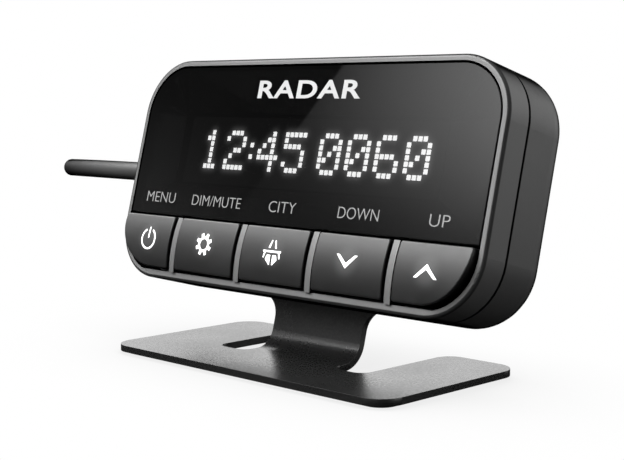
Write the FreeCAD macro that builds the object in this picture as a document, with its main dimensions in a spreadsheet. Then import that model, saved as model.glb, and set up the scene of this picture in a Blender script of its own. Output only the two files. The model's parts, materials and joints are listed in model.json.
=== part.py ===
import FreeCAD, Part
import Sketcher
import os
import math

# Dashboard display head of a split radar detector, on a bent sheet-metal stand.
# Millimetres.  World frame: +X to the right as the user sees the face, +Y away
# from the user, +Z up.  The origin lies on the resting plane, under the middle
# of the stand's front strip.
# The head is modelled upright in its own frame (X across, Y depth from the rim
# plane inward, Z up the face) and leans back on the stand as one assembly.
# The cable has a third frame, with its straight run along X.

Vector = FreeCAD.Vector
doc = FreeCAD.newDocument("radar_display_head")
sheet = doc.addObject("Spreadsheet::Sheet", "Dims")

# Driving dimensions.  "_round" is a radius, "_v" a height up the face, "_wide" and
# "_half" a full and a half width, "_front", "_back" and "_depth" a depth in the head.
SIZES = [
    # where the head sits
    ("face_y", 6.47), ("face_z", 27.95), ("lean", 14.53),
    # head envelope
    ("head_wide", 72.4), ("head_high", 35.0), ("head_deep", 14.4), ("head_corner", 8.7),
    ("front_round", 0.5), ("rear_round", 4.0), ("seam_depth", 4.6), ("seam_gap", 0.2),
    ("seam_bevel", 0.12),
    # front housing
    ("rim", 0.95), ("sill_half", 29.8), ("sill_top", 16.3), ("sill_foot", 17.0),
    ("sill_deep", 1.0), ("web_front", 1.75), ("web_thick", 1.0), ("web_low", 7.55),
    ("web_inset", 0.5), ("window_wide", 52.4), ("window_low", 1.9), ("window_top", 8.8),
    ("window_corner", 0.6), ("rib_pitch", 14.7), ("rib_wide", 1.05), ("rib_rise", 0.38),
    ("rib_lap", 0.05), ("rib_crown", 19.9), ("rib_reach", 0.3),
    # lens and its gasket
    ("lens_gap", 0.26), ("lens_sink", 0.05), ("lens_thick", 1.5), ("lens_low", 7.4),
    ("lens_bevel", 0.1), ("gasket_inset", 0.6), ("gasket_rise", 0.4), ("gasket_gap", 0.3),
    # keys
    ("key_top", 7.8), ("key_low", 15.9), ("key_side_gap", 0.34), ("key_rise", 0.75),
    ("key_crown", 17.9), ("key_back", 2.85), ("key_corner", 0.4), ("key_edge", 0.25),
    ("flange_thick", 0.75), ("flange_side", 0.4), ("flange_top", 0.5), ("key_wall", 1.2),
    ("key_skin", 0.2), ("outer_corner", 7.6), ("outer_wall", 3.2), ("low_wall", 1.4),
    ("outer_low_wall", 2.2), ("guide_gap", 0.06), ("guide_back", 3.55),
    ("guide_boss_extra", 0.3), ("guide_boss_lap", 0.2),
    # screw posts of the head
    ("post_x", 30.2), ("post_top", 10.2), ("post_low", 4.6), ("post_round", 2.1),
    ("post_end", 7.45), ("post_lap", 0.1), ("pilot_round", 1.0), ("pilot_deep", 4.0),
    # rear cover
    ("wall", 1.5), ("step_inset", 3.0), ("step_depth", 11.0), ("back_wall", 1.5),
    ("lip_outer", 1.2), ("lip_inner", 2.1), ("lip_front", 4.0), ("lip_end", 6.2),
    ("boss_round", 2.5), ("boss_front", 7.55), ("seat_depth", 9.4), ("seat_round", 2.0),
    ("screw_hole", 1.15), ("fill_depth", 13.0),
    # pocket for the stand's tab
    ("dock_half", 12.5), ("dock_top", 2.3), ("dock_floor", 10.6), ("dock_skin", 1.3),
    ("dock_wall", 1.4), ("dock_corner", 2.5), ("insert_x", 7.5), ("insert_low", 4.0),
    ("insert_round", 1.55), ("insert_hole", 1.6), ("insert_long", 2.2), ("insert_boss", 2.7),
    ("insert_boss_front", 7.65), ("insert_hole_gap", 0.1), ("insert_sink", 0.02),
    # board
    ("board_front", 6.4), ("board_thick", 1.0), ("board_inset", 2.5), ("board_hole", 2.35),
    # display
    ("panel_half", 26.5), ("panel_low", 3.4), ("panel_top", 10.2), ("panel_front", 2.85),
    ("panel_thick", 1.5), ("carrier_half", 27.8), ("carrier_low", 5.3), ("carrier_top", 11.8),
    ("carrier_corner", 0.8), ("carrier_wall", 1.2), ("carrier_web", 0.8), ("carrier_gap", 0.05),
    ("panel_gap", 0.1), ("flex_notch_half", 6.8), ("flex_notch_lap", 0.3),
    # flex: straight back from the panel's lower edge after one bend
    ("flex_half", 6.0), ("flex_thick", 0.15), ("flex_front", 3.5), ("flex_low", 5.9),
    ("flex_bend", 0.9), ("flex_end", 5.25), ("flex_gap", 0.02),
    ("socket_half", 7.4), ("socket_low", 7.0), ("socket_top", 5.5), ("socket_front", 5.3),
    # switches and lamps
    ("switch_half", 2.6), ("switch_high", 1.5), ("switch_v", 11.6), ("switch_outer", 27.3),
    ("switch_floor", 0.3), ("stem_round", 1.0), ("stem_hole", 1.06), ("stem_front", 3.6),
    ("stem_end", 5.5), ("stem_bevel", 0.2), ("lamp_v", 8.0), ("lamp_half", 0.8),
    ("lamp_half_v", 0.4), ("lamp_high", 0.6),
    # large parts on the rear of the board; x is to the left of the middle
    ("coil_x", 18.1), ("coil_low", 10.1), ("coil_half", 2.1), ("coil_corner", 0.8),
    ("coil_high", 2.2), ("ring_floor", 1.9), ("ring_outer", 1.7), ("ring_inner", 1.3),
    ("can_x", 24.4), ("can_low", 8.8), ("can_half", 2.2), ("can_foot", 0.5),
    ("can_round", 2.0), ("can_high", 3.8), ("can_edge_round", 0.3),
    ("header_left", 24.0), ("header_right", 18.0), ("header_half", 4.0),
    ("header_deep", 3.4), ("socket_right", 19.0), ("socket_half_v", 3.2),
    ("socket_near", 0.8), ("socket_far", 2.8), ("plug_gap", 0.06), ("plug_left", 26.6),
    ("plug_long", 7.4), ("wire_v", 0.8), ("wire_pitch", 1.5), ("wire_gap", 0.02),
    # fasteners
    ("head_screw_round", 1.8), ("head_screw_cap", 1.3), ("head_screw_shank", 0.95),
    ("head_screw_long", 5.6), ("drive_slot", 0.25), ("drive_long", 1.1), ("drive_deep", 0.7),
    ("cap_edge", 0.45), ("stand_screw_round", 1.9), ("stand_screw_cap", 1.2),
    ("stand_screw_long", 2.9), ("stand_screw_gap", 0.05), ("insert_bore", 1.0),
    # stand
    ("sheet_thick", 1.0), ("plate_wide", 55.8), ("plate_deep", 29.1), ("plate_corner", 3.6),
    ("strip_front", 5.2), ("notch_half", 15.0), ("notch_y", 5.15), ("notch_round", 1.9),
    ("prong_round", 2.7), ("tab_half", 12.15), ("tab_top", 1.2), ("root_lap", 0.6),
    ("bend_inner", 3.3), ("neck_half", 9.0), ("flare_z", 5.6), ("flare_round", 3.15),
    ("flare_margin", 0.2), ("tab_corner", 2.2), ("tab_hole", 1.15),
    ("pad_thick", 0.4), ("pad_inset", 1.2),
    # cable
    ("cable_round", 1.6), ("cable_core", 1.2), ("cable_y", 16.84), ("cable_z", 26.09),
    ("cable_fall", 6.2), ("cable_in", 31.5), ("cable_straight", 46.0), ("cable_sweep", 87.0),
    ("cable_arc", 20.5), ("conductor_round", 0.42), ("conductor_shift", 0.5),
    ("grommet_round", 2.05), ("cable_hole", 2.1), ("cable_hole_depth", 10.5),
    ("grommet_flange", 2.35), ("grommet_gap", 0.03), ("flange_long", 0.9),
    ("grommet_in", 32.2), ("grommet_out", 45.5), ("grommet_tip", 1.95),
    # speaker
    ("speaker_x", 21.5), ("speaker_v", 4.5), ("speaker_round", 7.0), ("speaker_back", 8.6),
    ("speaker_face", 12.2), ("magnet_round", 3.6), ("speaker_gasket_end", 12.85),
    ("contact_x", 5.3), ("contact_half", 0.6), ("slot_long", 8.4), ("slot_wide", 0.9),
    ("slot_pitch", 1.9),
]
for row, (alias, number) in enumerate(SIZES, start=1):
    sheet.set("A%d" % row, "%g" % number)
    sheet.setAlias("A%d" % row, alias)
doc.recompute()


class Dim:
    """A size that knows its number and the sheet formula it comes from."""

    def __init__(self, value, text):
        self.value = float(value)
        self.text = text

    @staticmethod
    def of(other):
        if isinstance(other, Dim):
            return other
        other = float(other)
        return Dim(other, "%.6g" % other if other >= 0 else "(0 - %.6g)" % -other)

    def __add__(self, other):
        other = Dim.of(other)
        return Dim(self.value + other.value, "(%s + %s)" % (self.text, other.text))

    def __sub__(self, other):
        other = Dim.of(other)
        return Dim(self.value - other.value, "(%s - %s)" % (self.text, other.text))

    def __mul__(self, other):
        other = Dim.of(other)
        return Dim(self.value * other.value, "(%s * %s)" % (self.text, other.text))

    def __rmul__(self, other):
        return Dim.of(other) * self

    def __neg__(self):
        return Dim(-self.value, "(0 - %s)" % self.text)


class Sizes:
    def __getattr__(self, alias):
        return Dim(sheet.get(alias), "Dims.%s" % alias)


size = Sizes()

# Sizes that several pieces share
HALF_WIDE = size.head_wide * 0.5
HALF_HIGH = size.head_high * 0.5
HALF_PLATE = size.plate_wide * 0.5
FRONT_END = size.seam_depth - size.seam_gap * 0.5
COVER_FRONT = size.seam_depth + size.seam_gap * 0.5
WEB_END = size.web_front + size.web_thick
PANEL_BACK = size.panel_front + size.panel_thick
BOARD_BACK = size.board_front + size.board_thick
SWITCH_X = [-size.switch_outer, -size.rib_pitch, Dim.of(0), size.rib_pitch, size.switch_outer]
SCREW_SPOTS = [(-size.post_x, size.post_top), (size.post_x, size.post_top),
               (-size.post_x, -size.post_low), (size.post_x, -size.post_low)]
INSERT_SPOTS = [(-size.insert_x, -size.insert_low), (size.insert_x, -size.insert_low)]

# Lengths of cuts that run clear of the material, and how far before it a cut starts
THROUGH_PLATE = 5
THROUGH_LENS = 6
THROUGH_FRONT = 10
THROUGH_HEAD = 20
PAST_PLATE = 20
OVERRUN = 1

# Frames: origin y, origin z, and tilt back about X
HEAD = (size.face_y, size.face_z, size.lean)
CABLE = (size.cable_y, size.cable_z, size.cable_fall)
WORLD = None

pieces = []          # every finished piece, in order


# ---- document helpers -------------------------------------------------------
def drive(obj, prop, dim):
    obj.setExpression(prop, Dim.of(dim).text)


def frame_placement(frame):
    y, z, tilt = frame
    return FreeCAD.Placement(Vector(0, y.value, z.value),
                             FreeCAD.Rotation(Vector(-1, 0, 0), tilt.value))


def new_body(label, frame=HEAD):
    body = doc.addObject("PartDesign::Body", label)
    body.Label = label
    body.AllowCompound = True
    if frame:
        body.Placement = frame_placement(frame)
        for prop, dim in zip(("Base.y", "Base.z", "Rotation.Angle"), frame):
            drive(body, "Placement." + prop, dim)
    pieces.append(body)
    return body


def plane_sketch(body, role, name):
    """A sketch on one of the body's own planes."""
    sketch = body.newObject("Sketcher::SketchObject", name)
    plane = next(item for item in body.Origin.OriginFeatures if item.Role == role)
    sketch.AttachmentSupport = [(plane, "")]
    sketch.MapMode = "FlatFace"
    return sketch


def sketch_on(body, role, name, offset):
    """A sketch parallel to one of the body's own planes, shifted along its normal."""
    sketch = plane_sketch(body, role, name)
    drive(sketch, "AttachmentOffset.Base.z", offset)
    return sketch


def flat_sketch(body, name, z):
    return sketch_on(body, "XY_Plane", name, z)


def face_sketch(body, name, depth):
    """A sketch parallel to the face, at a depth behind the rim plane."""
    return sketch_on(body, "XZ_Plane", name, -Dim.of(depth))


def side_sketch(body, name, x):
    """A sketch across X: its own x is depth, its own y is height."""
    return sketch_on(body, "YZ_Plane", name, x)


# ---- sketch helpers ---------------------------------------------------------
def constrain(sketch, kind, *refs):
    return sketch.addConstraint(Sketcher.Constraint(kind, *refs))


def measure(sketch, kind, refs, dim):
    """A dimension bound to the sheet."""
    dim = Dim.of(dim)
    index = constrain(sketch, kind, *refs, dim.value)
    label = "size_%d" % index
    sketch.renameConstraint(index, label)
    sketch.setExpression("Constraints." + label, dim.text)


def set_radius(sketch, curve, dim):
    measure(sketch, "Radius", (curve,), dim)


def at_distance(sketch, kind, zero_axis, curve, point, dim):
    dim = Dim.of(dim)
    if abs(dim.value) < 1e-9:
        constrain(sketch, "PointOnObject", curve, point, zero_axis)
    else:
        measure(sketch, kind, (-1, 1, curve, point), dim)


def at_x(sketch, curve, point, dim):
    at_distance(sketch, "DistanceX", -2, curve, point, dim)


def at_y(sketch, curve, point, dim):
    at_distance(sketch, "DistanceY", -1, curve, point, dim)


def line(x0, y0, x1, y1):
    return Part.LineSegment(Vector(x0, y0, 0), Vector(x1, y1, 0))


def segment(start, end):
    """A line between two (x, y) pairs of sizes."""
    return line(*[Dim.of(part).value for part in start + end])


def arc(x, y, radius, from_angle, to_angle):
    return Part.ArcOfCircle(Part.Circle(Vector(x, y, 0), Vector(0, 0, 1), radius),
                            math.radians(from_angle), math.radians(to_angle))


def join(sketch, kind, pairs):
    for pair in pairs:
        constrain(sketch, kind, *pair)


def close_loop(sketch, first, count):
    """Join curves end to start, and the last to the first."""
    join(sketch, "Coincident",
         [(first + k, 2, first + (k + 1) % count, 1) for k in range(count)])


def bound_sides(sketch, first, left, right, low, high):
    """Square up and place four sides: bottom, right, top, left."""
    for k in (first, first + 2):
        constrain(sketch, "Horizontal", k)
    for k in (first + 1, first + 3):
        constrain(sketch, "Vertical", k)
    at_y(sketch, first, 1, low)
    at_x(sketch, first + 1, 1, right)
    at_y(sketch, first + 2, 1, high)
    at_x(sketch, first + 3, 1, left)


def rect(sketch, left, right, low, high):
    x0, x1, y0, y1 = [Dim.of(side).value for side in (left, right, low, high)]
    first = len(sketch.Geometry)
    sketch.addGeometry([line(x0, y0, x1, y0), line(x1, y0, x1, y1),
                        line(x1, y1, x0, y1), line(x0, y1, x0, y0)], False)
    close_loop(sketch, first, 4)
    bound_sides(sketch, first, left, right, low, high)


def round_rect(sketch, left, right, low, high, radius):
    x0, x1, y0, y1, rad = [Dim.of(part).value for part in (left, right, low, high, radius)]
    first = len(sketch.Geometry)
    sketch.addGeometry([
        line(x0 + rad, y0, x1 - rad, y0), line(x1, y0 + rad, x1, y1 - rad),
        line(x1 - rad, y1, x0 + rad, y1), line(x0, y1 - rad, x0, y0 + rad),
        arc(x1 - rad, y0 + rad, rad, -90, 0), arc(x1 - rad, y1 - rad, rad, 0, 90),
        arc(x0 + rad, y1 - rad, rad, 90, 180), arc(x0 + rad, y0 + rad, rad, 180, 270)], False)
    for k in range(4):
        corner = first + 4 + k
        join(sketch, "Tangent", [(first + k, 2, corner, 1), (corner, 2, first + (k + 1) % 4, 1)])
    for k in (4, 5, 6):
        constrain(sketch, "Equal", first + k, first + k + 1)
    set_radius(sketch, first + 4, radius)
    bound_sides(sketch, first, left, right, low, high)


def head_outline(sketch, inset):
    """The head's rounded outline, drawn a given distance inside its edge."""
    half, tall = HALF_WIDE - inset, HALF_HIGH - inset
    round_rect(sketch, -half, half, -tall, tall, size.head_corner - inset)


def below(sketch, top):
    """A rectangle that covers everything on the face below a height."""
    rect(sketch, -size.head_wide, size.head_wide, -size.head_high, top)


def square_at(sketch, x, y, half):
    rect(sketch, x - half, x + half, y - half, y + half)


def circle(sketch, x, y, radius):
    x, y, radius = Dim.of(x), Dim.of(y), Dim.of(radius)
    shape = Part.Circle(Vector(x.value, y.value, 0), Vector(0, 0, 1), radius.value)
    curve = sketch.addGeometry(shape, False)
    set_radius(sketch, curve, radius)
    at_x(sketch, curve, 3, x)
    at_y(sketch, curve, 3, y)


def circles(sketch, spots, radius):
    for x, y in spots:
        circle(sketch, x, y, radius)


def polygon(sketch, points):
    count = len(points)
    for k in range(count):
        sketch.addGeometry(segment(points[k], points[(k + 1) % count]), False)
    close_loop(sketch, 0, count)
    for k, (x, y) in enumerate(points):
        at_x(sketch, k, 1, x)
        at_y(sketch, k, 1, y)


def crowned_profile(sketch, crown, corners):
    """A square-cornered side profile whose front is a crown bulging to the user.

    Corners are (depth, height), from the crown's lower end round to its upper end.
    """
    low, high = corners[0][1].value, corners[-1][1].value
    half_span = (high - low) / 2
    radius = crown.value
    sag = radius - math.sqrt(radius * radius - half_span ** 2)
    half_angle = math.degrees(math.asin(half_span / radius))
    bow = arc(corners[0][0].value - sag + radius, (low + high) / 2, radius,
              180 - half_angle, 180 + half_angle)
    count = len(corners)
    sketch.addGeometry([bow] + [segment(corners[k], corners[k + 1])
                                for k in range(count - 1)], False)
    close_loop(sketch, 0, count)
    for k in range(1, count):
        constrain(sketch, "Horizontal" if k % 2 else "Vertical", k)
    set_radius(sketch, 0, crown)
    at_x(sketch, 0, 1, corners[-1][0])
    at_x(sketch, 0, 2, corners[0][0])
    for k in range(1, count, 2):
        at_y(sketch, k, 1, corners[k - 1][1])
    for k in range(1, count - 1, 2):
        at_x(sketch, k, 2, corners[k][0])


def join_bent_strip(sketch, first_radius, second_radius):
    """Join a strip of line, bend, line, end, line, bend, line, end."""
    join(sketch, "Tangent", [(0, 2, 1, 1), (1, 2, 2, 1), (4, 2, 5, 2), (5, 1, 6, 1)])
    join(sketch, "Coincident", [(2, 2, 3, 1), (3, 2, 4, 1), (6, 2, 7, 1), (7, 2, 0, 1),
                                (1, 3, 5, 3)])
    set_radius(sketch, 1, first_radius)
    set_radius(sketch, 5, second_radius)


# ---- feature helpers --------------------------------------------------------
def pad(body, sketch, length, name, reverse=False):
    feature = body.newObject("PartDesign::Pad", name)
    feature.Profile = sketch
    drive(feature, "Length", length)
    feature.Reversed = reverse
    return feature


def pad_in(body, sketch, length, name):
    """Pad a face sketch inward, away from the viewer of the face."""
    return pad(body, sketch, length, name, reverse=True)


def pocket(body, sketch, length, name, reverse=False, middle=False):
    """Cut against the sketch's normal; a face sketch cuts inward."""
    feature = body.newObject("PartDesign::Pocket", name)
    feature.Profile = sketch
    drive(feature, "Length", length)
    feature.Reversed = reverse
    if middle:
        # the symmetric option is one of two properties, by FreeCAD release
        if hasattr(feature, "SideType"):
            feature.SideType = "Symmetric"
        else:
            feature.Midplane = True
    return feature


def revolve(body, sketch):
    feature = body.newObject("PartDesign::Revolution", "Revolution")
    feature.Profile = sketch
    feature.ReferenceAxis = (sketch, ["H_Axis"])
    feature.Angle = 360


def edges_of(feature, test):
    """Names of the edges whose middle point and end points pass a test."""
    doc.recompute()
    found = []
    for k, edge in enumerate(feature.Shape.Edges, start=1):
        mid = edge.valueAt((edge.FirstParameter + edge.LastParameter) / 2.0)
        if test(mid, [vertex.Point for vertex in edge.Vertexes]):
            found.append("Edge%d" % k)
    if not found:
        raise RuntimeError("no edge found for " + feature.Label)
    return found


def fillet(body, feature, radius, test, name):
    names = edges_of(feature, test)
    dressed = body.newObject("PartDesign::Fillet", name)
    dressed.Base = (feature, names)
    drive(dressed, "Radius", radius)
    return dressed


def chamfer(body, feature, bevel, test, name):
    names = edges_of(feature, test)
    dressed = body.newObject("PartDesign::Chamfer", name)
    dressed.Base = (feature, names)
    drive(dressed, "Size", bevel)
    return dressed


def at_depth(depth):
    """An edge test: the edge's middle lies at a depth in the head."""
    return lambda mid, ends: abs(mid.y - depth.value) < 0.001


def on_outline(point):
    """True when a point lies on the head's outline."""
    half_wide, half_high = HALF_WIDE.value, HALF_HIGH.value
    radius = size.head_corner.value
    past_x = max(abs(point.x) - (half_wide - radius), 0)
    past_z = max(abs(point.z) - (half_high - radius), 0)
    if past_x > 0 and past_z > 0:
        return abs(math.hypot(past_x, past_z) - radius) < 0.01
    return abs(abs(point.x) - half_wide) < 0.01 or abs(abs(point.z) - half_high) < 0.01


# ---- stand: one bent sheet --------------------------------------------------
def make_stand():
    stand = new_body("stand_bracket", WORLD)
    thick, inner = size.sheet_thick.value, size.bend_inner.value
    sketch = flat_sketch(stand, "plate_outline", size.pad_thick)
    round_rect(sketch, -HALF_PLATE, HALF_PLATE, -size.strip_front,
               size.plate_deep - size.strip_front, size.plate_corner)
    pad(stand, sketch, size.sheet_thick, "plate_pad")

    # The tab's front surface lies against the pocket floor of the rear cover,
    # and a single bend joins it to the plate.
    lean = math.radians(size.lean.value)
    up_y, up_z = math.sin(lean), math.cos(lean)
    tab_y = size.face_y.value + size.dock_floor.value * up_z
    tab_z = size.face_z.value - size.dock_floor.value * up_y
    plate_top = size.pad_thick.value + thick
    turn = math.pi / 2 - lean
    bend_z = plate_top + inner * (1 - math.cos(turn))
    bend_y = tab_y + (bend_z - tab_z) * up_y / up_z
    root_y = bend_y - inner * math.sin(turn)
    for cell, alias, value in (("B1", "root_y", root_y),
                               ("B2", "tab_end_y", tab_y + size.tab_top.value * up_y),
                               ("B3", "tab_end_z", tab_z + size.tab_top.value * up_z)):
        sheet.set(cell, "%.6f" % value)
        sheet.setAlias(cell, alias)
    doc.recompute()

    # slots either side of the neck, and the gap behind its root
    sketch = flat_sketch(stand, "plate_notch", size.pad_thick)
    past_rear = size.plate_deep + PAST_PLATE
    round_rect(sketch, size.neck_half, size.notch_half, size.notch_y, past_rear,
               size.notch_round)
    round_rect(sketch, -size.notch_half, -size.neck_half, size.notch_y, past_rear,
               size.notch_round)
    pocket(stand, sketch, THROUGH_PLATE, "plate_slots", reverse=True)
    sketch = flat_sketch(stand, "plate_gap", size.pad_thick)
    rect(sketch, -size.notch_half, size.notch_half, size.root_y, past_rear)
    cut = pocket(stand, sketch, THROUGH_PLATE, "plate_gap_cut", reverse=True)
    rear = size.plate_deep.value - size.strip_front.value
    fillet(stand, cut, size.prong_round,
           lambda mid, ends: abs(abs(mid.x) - size.notch_half.value) < 0.01
           and abs(mid.y - rear) < 0.01, "prong_corners")

    # neck and tab, seen from the side
    sketch = side_sketch(stand, "neck_profile", -size.tab_half)
    end_y, end_z = size.tab_end_y.value, size.tab_end_z.value
    start_y = root_y - size.root_lap.value
    centre_z = plate_top + inner
    bend_end = math.degrees(turn) - 90
    back_y, back_z = thick * up_z, -thick * up_y       # from the tab's front to its rear
    sketch.addGeometry([
        line(start_y, plate_top, root_y, plate_top),                        # 0 root, top
        arc(root_y, centre_z, inner, -90, bend_end),                        # 1 inside of bend
        line(bend_y, bend_z, end_y, end_z),                                 # 2 tab front
        line(end_y, end_z, end_y + back_y, end_z + back_z),                 # 3 upper edge
        line(end_y + back_y, end_z + back_z, bend_y + back_y, bend_z + back_z),  # 4 tab rear
        arc(root_y, centre_z, inner + thick, -90, bend_end),                # 5 outside of bend
        line(root_y, plate_top - thick, start_y, plate_top - thick),        # 6 root, underside
        line(start_y, plate_top - thick, start_y, plate_top),               # 7 root end
    ], False)
    join_bent_strip(sketch, size.bend_inner, size.bend_inner + size.sheet_thick)
    constrain(sketch, "Horizontal", 0)
    constrain(sketch, "Horizontal", 6)
    constrain(sketch, "Vertical", 7)
    constrain(sketch, "Perpendicular", 2, 3)
    at_y(sketch, 6, 1, size.pad_thick)
    at_x(sketch, 7, 1, size.root_y - size.root_lap)
    at_x(sketch, 2, 2, size.tab_end_y)
    at_y(sketch, 2, 2, size.tab_end_z)
    pad(stand, sketch, size.tab_half * 2, "neck_pad")

    cut = cut_neck_sides(stand)
    fillet(stand, cut, size.tab_corner,
           lambda mid, ends: abs(abs(mid.x) - size.tab_half.value) < 0.01
           and all(abs((point.y - end_y) * up_y + (point.z - end_z) * up_z) < 0.02
                   for point in ends) and len(ends) == 2, "tab_corners")
    sketch = plane_sketch(stand, "XZ_Plane", "tab_hole_sketch")
    sketch.AttachmentOffset = FreeCAD.Placement(
        Vector(0, tab_z, -tab_y), FreeCAD.Rotation(Vector(1, 0, 0), -size.lean.value))
    circles(sketch, INSERT_SPOTS, size.tab_hole)
    pocket(stand, sketch, 6, "tab_holes", middle=True)


def cut_neck_sides(stand):
    """Trim the neck narrow, flaring into the wide tab just under the head."""
    sketch = face_sketch(stand, "neck_sides", size.notch_y + size.notch_round)
    neck_x, radius = size.neck_half.value, size.flare_round.value
    flare_low = size.flare_z.value
    shoulder_z = flare_low + radius
    limit = size.notch_half - size.flare_margin
    for side in (1, -1):
        first = len(sketch.Geometry)
        near, far = side * neck_x, side * limit.value
        centre_x = side * (neck_x + radius)
        bow = arc(centre_x, flare_low, radius, *((90, 180) if side > 0 else (0, 90)))
        sketch.addGeometry([line(near, -1, near, flare_low), bow,
                            line(centre_x, shoulder_z, far, shoulder_z),
                            line(far, shoulder_z, far, -1), line(far, -1, near, -1)], False)
        # the bow's end on the neck, and on the shoulder
        neck_end, shoulder_end = (2, 1) if side > 0 else (1, 2)
        join(sketch, "Tangent", [(first, 2, first + 1, neck_end),
                                 (first + 1, shoulder_end, first + 2, 1)])
        join(sketch, "Coincident", [(first + 2, 2, first + 3, 1), (first + 3, 2, first + 4, 1),
                                    (first + 4, 2, first, 1)])
        for k in (first, first + 3):
            constrain(sketch, "Vertical", k)
        for k in (first + 2, first + 4):
            constrain(sketch, "Horizontal", k)
        set_radius(sketch, first + 1, size.flare_round)
        at_x(sketch, first, 1, side * size.neck_half)
        at_y(sketch, first, 1, -1)
        at_y(sketch, first, 2, size.flare_z)
        at_x(sketch, first + 3, 1, side * limit)
    return pocket(stand, sketch, 30, "neck_side_cut")


def make_adhesive():
    """Pad under the plate, inset from its edges."""
    adhesive = new_body("adhesive_pad", WORLD)
    inset = size.pad_inset
    sketch = flat_sketch(adhesive, "adhesive_outline", 0)
    round_rect(sketch, -HALF_PLATE + inset, HALF_PLATE - inset, -size.strip_front + inset,
               size.plate_deep - size.strip_front - inset, size.plate_corner - inset)
    pad(adhesive, sketch, size.pad_thick, "adhesive_pad")
    sketch = flat_sketch(adhesive, "adhesive_notch", 0)
    round_rect(sketch, -size.notch_half - inset, size.notch_half + inset, size.notch_y - inset,
               size.plate_deep + PAST_PLATE, size.notch_round + inset)
    pocket(adhesive, sketch, THROUGH_PLATE, "adhesive_gap", reverse=True)


# ---- front housing ----------------------------------------------------------
def make_front():
    front = new_body("front_housing")
    sketch = face_sketch(front, "web_outline", size.web_front)
    head_outline(sketch, size.web_inset)
    pad_in(front, sketch, size.web_thick, "web_pad")
    sketch = face_sketch(front, "key_bay", 0)
    below(sketch, -size.web_low)
    pocket(front, sketch, THROUGH_FRONT, "key_bay_cut")
    sketch = face_sketch(front, "display_window", 0)
    round_rect(sketch, -size.window_wide * 0.5, size.window_wide * 0.5, -size.window_low,
               size.window_top, size.window_corner)
    pocket(front, sketch, THROUGH_FRONT, "display_window_cut")
    sketch = face_sketch(front, "rim_ring", 0)
    head_outline(sketch, 0)
    head_outline(sketch, size.rim)
    pad_in(front, sketch, FRONT_END, "rim_pad")
    # the rim is a little wider along the bottom, under the keys
    sketch = face_sketch(front, "bottom_sill", 0)
    rect(sketch, -size.sill_half, size.sill_half, -size.sill_foot, -size.sill_top)
    pad_in(front, sketch, size.sill_deep, "sill_pad")
    for number in range(4):
        add_rib(front, number)
    sketch = face_sketch(front, "post_circles", WEB_END - size.post_lap)
    circles(sketch, SCREW_SPOTS, size.post_round)
    pad_in(front, sketch, size.post_end - WEB_END + size.post_lap, "screw_posts")
    sketch = face_sketch(front, "pilot_circles", size.post_end - size.pilot_deep)
    circles(sketch, SCREW_SPOTS, size.pilot_round)
    last = pocket(front, sketch, size.pilot_deep + OVERRUN, "pilot_holes")
    last = fillet(front, last, size.front_round,
                  lambda mid, ends: abs(mid.y) < 0.001 and on_outline(mid), "front_edge")
    chamfer(front, last, size.seam_bevel,
            lambda mid, ends: abs(mid.y - FRONT_END.value) < 0.001 and on_outline(mid),
            "seam_edge")


def add_rib(front, number):
    """A crowned bar between two keys, with feet that reach behind the rim and the web."""
    x = (number - 1.5) * size.rib_pitch
    sketch = side_sketch(front, "rib_profile_%d" % (number + 1), x - size.rib_wide * 0.5)
    low, high = -size.sill_top - size.rib_lap, -size.key_top
    foot = -(HALF_HIGH - size.rim + size.rib_reach)
    head = -size.web_low + size.rib_lap
    crowned_profile(sketch, size.rib_crown, [
        (-size.rib_rise, low), (size.rib_lap, low), (size.rib_lap, foot), (WEB_END, foot),
        (WEB_END, head), (size.web_front, head), (size.web_front, high),
        (-size.rib_rise, high)])
    pad(front, sketch, size.rib_wide, "rib_%d" % (number + 1))


# ---- display lens and its gasket --------------------------------------------
def make_lens():
    lens = new_body("display_lens")
    sketch = face_sketch(lens, "lens_outline", size.lens_sink)
    head_outline(sketch, size.rim + size.lens_gap)
    pad_in(lens, sketch, size.lens_thick, "lens_pad")
    sketch = face_sketch(lens, "lens_foot", size.lens_sink - OVERRUN)
    below(sketch, -size.lens_low)
    last = pocket(lens, sketch, THROUGH_LENS, "lens_foot_cut")
    chamfer(lens, last, size.lens_bevel, at_depth(size.lens_sink), "lens_edge")


def make_lens_gasket():
    gasket = new_body("lens_gasket")
    lens_back = size.lens_sink + size.lens_thick
    sketch = face_sketch(gasket, "gasket_outline", lens_back)
    head_outline(sketch, size.rim + size.gasket_inset)
    pad_in(gasket, sketch, size.web_front - lens_back, "gasket_pad")
    sketch = face_sketch(gasket, "gasket_opening", 0)
    below(sketch, -size.lens_low + size.gasket_rise)
    pocket(gasket, sketch, THROUGH_LENS, "gasket_foot")
    sketch = face_sketch(gasket, "gasket_window", 0)
    half = size.window_wide * 0.5 + size.gasket_gap
    round_rect(sketch, -half, half, -size.window_low - size.gasket_gap,
               size.window_top + size.gasket_gap, size.window_corner)
    pocket(gasket, sketch, THROUGH_LENS, "gasket_window_cut")


# ---- rear cover -------------------------------------------------------------
# how much shorter each end of the five speaker slots is, from the lowest up
SLOT_SHRINK = [1.6, 0.4, 0, 0.4, 1.6]


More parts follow.
